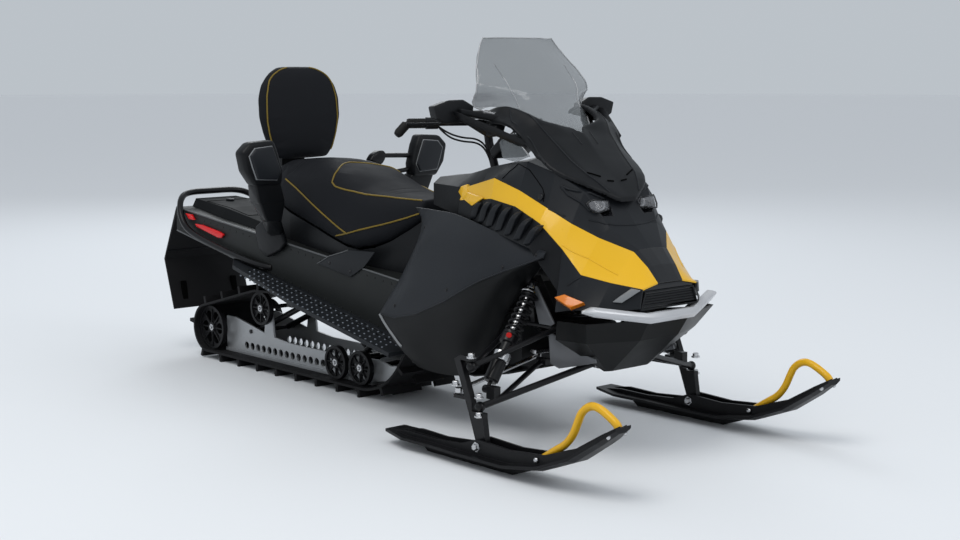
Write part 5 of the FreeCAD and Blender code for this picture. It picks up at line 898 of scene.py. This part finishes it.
def filled(name, node, seams, shrink, cap, voxel, foot, reshape=None):
    """A padded cover, blown up by cloth simulation and held along its seams and its foot."""
    frames, proud, sunk, underside = 20, 0.002, -0.0005, -0.5
    mesh = copied(node)
    for vertex in mesh.verts if reshape else ():
        reshape(vertex.co)
    surface = BVHTree.FromBMesh(mesh)
    mesh.normal_update()
    for vertex in mesh.verts:
        vertex.co -= vertex.normal * shrink
    data = bpy.data.meshes.new(name)
    even = resurfaced(mesh, voxel, 5)
    even.to_mesh(data)
    even.free()
    pad = bpy.data.objects.new(name, data)
    scene.collection.objects.link(pad)
    sewn = pad.vertex_groups.new(name="sewn")
    spots = [spot for seam in seams for spot in seam]
    tree = KDTree(len(spots))
    for index, spot in enumerate(spots):
        tree.insert(spot, index)
    tree.balance()
    start = [vertex.co.copy() for vertex in pad.data.vertices]
    held = [vertex.index for vertex in pad.data.vertices
            if tree.find(vertex.co)[2] < shrink + voxel * 0.8 or foot(vertex.co, vertex.normal)]
    sewn.add(held, 1.0, "REPLACE")
    cloth = pad.modifiers.new("fill", "CLOTH")
    cloth.settings.quality = 6
    cloth.settings.use_pressure = True
    cloth.settings.uniform_pressure_force = 4
    cloth.settings.effector_weights.gravity = 0
    cloth.settings.vertex_group_mass = "sewn"
    cloth.point_cache.frame_end = frames
    for step in range(1, frames + 1):
        scene.frame_set(step)
    full = bpy.data.meshes.new_from_object(pad.evaluated_get(bpy.context.evaluated_depsgraph_get()))
    pad.modifiers.clear()
    for vertex, was in zip(full.vertices, start):
        moved = vertex.co - was
        if moved.length > cap:
            vertex.co = was + moved * (cap / moved.length)
        near, normal, _, _ = surface.find_nearest(vertex.co)
        over = (vertex.co - near).dot(normal)
        if over > proud or normal.z < underside and over > sunk:
            vertex.co = near + normal * (proud if normal.z >= underside else sunk)
    pad.data = full
    scene.frame_set(1)
    pad.data.shade_smooth()
    round_off = pad.modifiers.new("round off", "SUBSURF")
    round_off.levels = 1
    round_off.render_levels = 1
    pad.data.materials.clear()
    pad.data.materials.append(seat_vinyl)
    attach(pad, "chassis")
    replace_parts(pad, node)
    shape = bmesh.new()
    shape.from_mesh(pad.data)
    found = BVHTree.FromBMesh(shape)
    shape.free()
    return found


seat_loop = [(-0.453, 0.0, 0.931), (-0.440, -0.03, 0.930), (-0.417, -0.06, 0.928), (-0.350, -0.133, 0.913),
             (-0.329, -0.177, 0.889), (-0.322, -0.195, 0.862), (-0.296, -0.199, 0.845), (-0.231, -0.194, 0.837),
             (-0.134, -0.171, 0.828), (-0.036, -0.126, 0.822), (0.043, -0.099, 0.818), (0.116, -0.080, 0.815)]
seat_side = [(-0.657, -0.189, 0.852), (-0.565, -0.199, 0.817), (-0.461, -0.207, 0.769), (-0.364, -0.212, 0.724),
             (-0.280, -0.213, 0.686), (-0.206, -0.212, 0.656), (-0.30, -0.20, 0.632)]
seat_low = [(-0.206, -0.212, 0.656), (-0.127, -0.202, 0.678), (-0.049, -0.178, 0.698), (0.017, -0.152, 0.716),
            (0.079, -0.124, 0.736), (0.120, -0.098, 0.752)]
seat_lines = both(seat_loop, seat_side, seat_low)


def along_line(line, step=0.008):
    """Points at close steps along a line."""
    found = []
    for start, end in zip(line, line[1:]):
        count = max(1, round((end - start).length / step))
        found += [start.lerp(end, index / count) for index in range(count)]
    return found + [line[-1]]


seat_surface = filled("seat_cover", "seat", [along_line(line) for line in seat_lines], 0.008, 0.022, 0.008,
                      lambda spot, normal: normal.z < -0.6)
bead("seat_piping", [laid(seat_surface, line, 0.001) for line in seat_lines], 0.0034, piping)
back_line = [(-0.826, -0.07, 1.312), (-0.815, -0.118, 1.303), (-0.810, -0.144, 1.290), (-0.807, -0.158, 1.275),
             (-0.804, -0.164, 1.257), (-0.795, -0.164, 1.195), (-0.790, -0.167, 1.133), (-0.788, -0.168, 1.087),
             (-0.787, -0.165, 1.040), (-0.790, -0.160, 1.009), (-0.795, -0.150, 0.965)]


def egg_shaped(spot):
    """Draws the backrest in towards its top and foot, and moves its face forward."""
    high, low = eased(spot.z, 1.16, 1.33), 1 - eased(spot.z, 0.93, 1.10)
    spot.y *= 1.09 - 0.30 * high * high - 0.10 * low
    spot.x += 0.018
    spot.z += 0.008 * high - 0.014 * low


back_lines = both(back_line)
for line in back_lines:
    for spot in line:
        egg_shaped(spot)
back_surface = filled("backrest_cover", "backrest", [along_line(line) for line in back_lines], 0.008, 0.022, 0.006,
                      lambda spot, normal: normal.x < -0.7, egg_shaped)
bead("backrest_piping", [laid(back_surface, line, 0.001) for line in back_lines], 0.0032, piping)

# The rear
# A moulded deck with a hatch and red lamps along both sides, a bent lifting bar
# that runs forward along the tunnel, and a rubber flap.
lens_red = finish("lens red", (0.62, 0.008, 0.010), (0.7, 0.03, 0.03), 0.2, coat=0.4, grain=160, depth=0.2)
deck_plastic = finish("deck plastic", (0.0085, 0.0095, 0.0105), grey(0.05), 0.6, specular=0.06)
paint(deck_plastic, "deck")
paint(track_rubber, "snow_flap")
bar_side = [(-0.735, -0.204, 0.474), (-0.775, -0.234, 0.477), (-0.961, -0.236, 0.504), (-1.190, -0.236, 0.545),
            (-1.329, -0.236, 0.579), (-1.385, -0.236, 0.612), (-1.425, -0.230, 0.664), (-1.470, -0.200, 0.716),
            (-1.512, -0.140, 0.744)]
bar_run = bar_side + [(-1.512, 0, 0.744)] + [(x, -y, z) for x, y, z in bar_side[::-1]]
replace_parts(bead("lifting_bar", [bar_run], 0.0145, arm_paint, smooth=True), "rear_bar")
long_lamp = lengthways(-0.2115, ((-1.313, 0.618), (-1.255, 0.617), (-1.124, 0.599), (-1.080, 0.588), (-1.098, 0.571),
                                 (-1.125, 0.570), (-1.214, 0.589), (-1.299, 0.605)))
short_lamp = lengthways(-0.2115, ((-1.392, 0.660), (-1.342, 0.657), (-1.319, 0.634), (-1.363, 0.635)))
lamps = both(thick(long_lamp, (0, -0.012, 0)), thick(short_lamp, (0, -0.012, 0)))
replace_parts(blocks("tail_lenses", lamps, 0.002, lens_red), "tail_lamps")
# Near-black blocks set into the flap's grooves: painted shade inside them.
groove_ends = ((-1.5385, 0.210), (-1.561, 0.325), (-1.546, 0.210), (-1.569, 0.325))
grooves = [[(station, across + wide, level) for station, level in groove_ends for wide in (0, 0.03)]
           for across in (-0.152, 0.122)]
blocks("flap_groove_shade", grooves, 0.003, gap_painted_shade)
bead("flap_band", [crossways(-1.5875, ((-0.205, 0.470), (0.205, 0.470)))], 0.006, black_plastic)
hatch_skin = skin("deck")
# A near-black bead round the hatch: painted shade in its seam.
hatch = [(-1.38, -0.11, 0.72), (-1.38, 0.11, 0.72), (-1.02, 0.12, 0.70), (-1.02, -0.12, 0.70), (-1.38, -0.11, 0.72)]
bead("deck_hatch_seam_shade", [laid(hatch_skin, hatch, 0.0003)], 0.0018, gap_painted_shade)
latch = bmesh.new()
near, normal, _, _ = hatch_skin.find_nearest(Vector((-1.36, 0, 0.74)))
turned(latch, ((0, 0.01), (0.016, 0.01), (0.019, 0.007), (0.019, -0.001), (0, -0.001)), near, near + normal, 24)
place("deck_latch", closed_up(latch), black_gloss)

bracket = lengthways(-0.212, ((-0.389, 0.524), (-0.310, 0.562), (-0.181, 0.598), (-0.010, 0.606), (-0.048, 0.570),
                              (-0.080, 0.540), (-0.170, 0.491)))
blocks("seat_brackets", both(thick(bracket, (0, -0.005, 0))), 0.0015, charcoal_plastic)
bracket_bolts = bmesh.new()
for side in (-1, 1):
    for station, level in ((-0.308, 0.536), (-0.170, 0.515)):
        dome(bracket_bolts, (station, side * 0.217, level), (0, side, 0), 0.008)
place("bracket_bolts", bracket_bolts, black_gloss)
# A light grey bead on each bracket's top edge: painted highlight.
bracket_edge = lengthways(-0.2175, ((-0.389, 0.525), (-0.310, 0.562), (-0.181, 0.598)))
bead("bracket_edges", both(bracket_edge), 0.0022, edge_highlight_paint)

# The hand guards
# Moulded knuckle guards for the passenger: a padded face with a raised middle on
# a thick black stalk, which is bolted to the tunnel behind the seat.
pad_outline = crossways(-0.445, ((-0.534, 0.986), (-0.491, 1.025), (-0.380, 1.031), (-0.360, 0.985), (-0.338, 0.905),
                                 (-0.343, 0.850), (-0.474, 0.850), (-0.517, 0.909)))
pads = blocks("guard_pads", both(thick(pad_outline, (-0.062, 0, 0))), 0.014, black_plastic)
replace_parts(pads, "hand_guards")
middle_outline = crossways(-0.434, ((-0.500, 0.971), (-0.474, 1.000), (-0.393, 1.007), (-0.377, 0.966), (-0.353, 0.905),
                                    (-0.372, 0.872), (-0.468, 0.878), (-0.485, 0.924)))
# The raised middles take the lighter panel plastic, partly for a real satin face and partly as a painted sheen where
# their faces catch the light.
blocks("guard_middles", both(thick(middle_outline, (-0.02, 0, 0))), 0.007, panel_plastic_painted_shade)
# Light grey rims round the raised middles: painted highlight on their edges.
bead("guard_rims", both([(-0.4435, y * 1.004, z) for x, y, z in middle_outline]), 0.003, grey_trim_and_highlight, closed=True)
stalk_high = [(-0.455, -0.468, 0.862), (-0.455, -0.345, 0.862), (-0.515, -0.468, 0.862), (-0.515, -0.345, 0.862),
              (-0.470, -0.440, 0.775), (-0.470, -0.312, 0.775), (-0.560, -0.430, 0.775), (-0.560, -0.305, 0.775)]
stalk_low = [(-0.470, -0.440, 0.785), (-0.470, -0.312, 0.785), (-0.560, -0.430, 0.785), (-0.560, -0.305, 0.785),
             (-0.485, -0.400, 0.705), (-0.490, -0.320, 0.690), (-0.585, -0.350, 0.690), (-0.600, -0.290, 0.690)]
stalk_knee = [(-0.485, -0.395, 0.715), (-0.490, -0.320, 0.700), (-0.585, -0.350, 0.700), (-0.600, -0.290, 0.715),
              (-0.640, -0.218, 0.675), (-0.640, -0.242, 0.675), (-0.750, -0.218, 0.675), (-0.750, -0.242, 0.675),
              (-0.620, -0.242, 0.625), (-0.700, -0.242, 0.610), (-0.620, -0.218, 0.625)]
stalk_foot = lengthways(-0.213, ((-0.811, 0.645), (-0.751, 0.679), (-0.641, 0.679), (-0.596, 0.591), (-0.631, 0.559),
                                 (-0.726, 0.520), (-0.785, 0.550), (-0.811, 0.607)))
blocks("guard_stalks", both(stalk_high, stalk_low, stalk_knee, thick(stalk_foot, (0, -0.024, 0))), 0.008, black_plastic)
guard_bars = [[(-0.480, 0.370, 0.940), (-0.500, 0.200, 0.945)], [(-0.480, 0.370, 0.885), (-0.500, 0.200, 0.862)]]
bead("guard_bars", guard_bars, 0.0105, arm_paint)
knuckle = crossways(-0.490, ((0.140, 0.925), (0.160, 0.950), (0.188, 0.966), (0.216, 0.966), (0.230, 0.950),
                             (0.222, 0.925), (0.205, 0.905)))
blocks("guard_knuckle", [thick(knuckle, (-0.04, 0, 0))], 0.008, arm_paint)
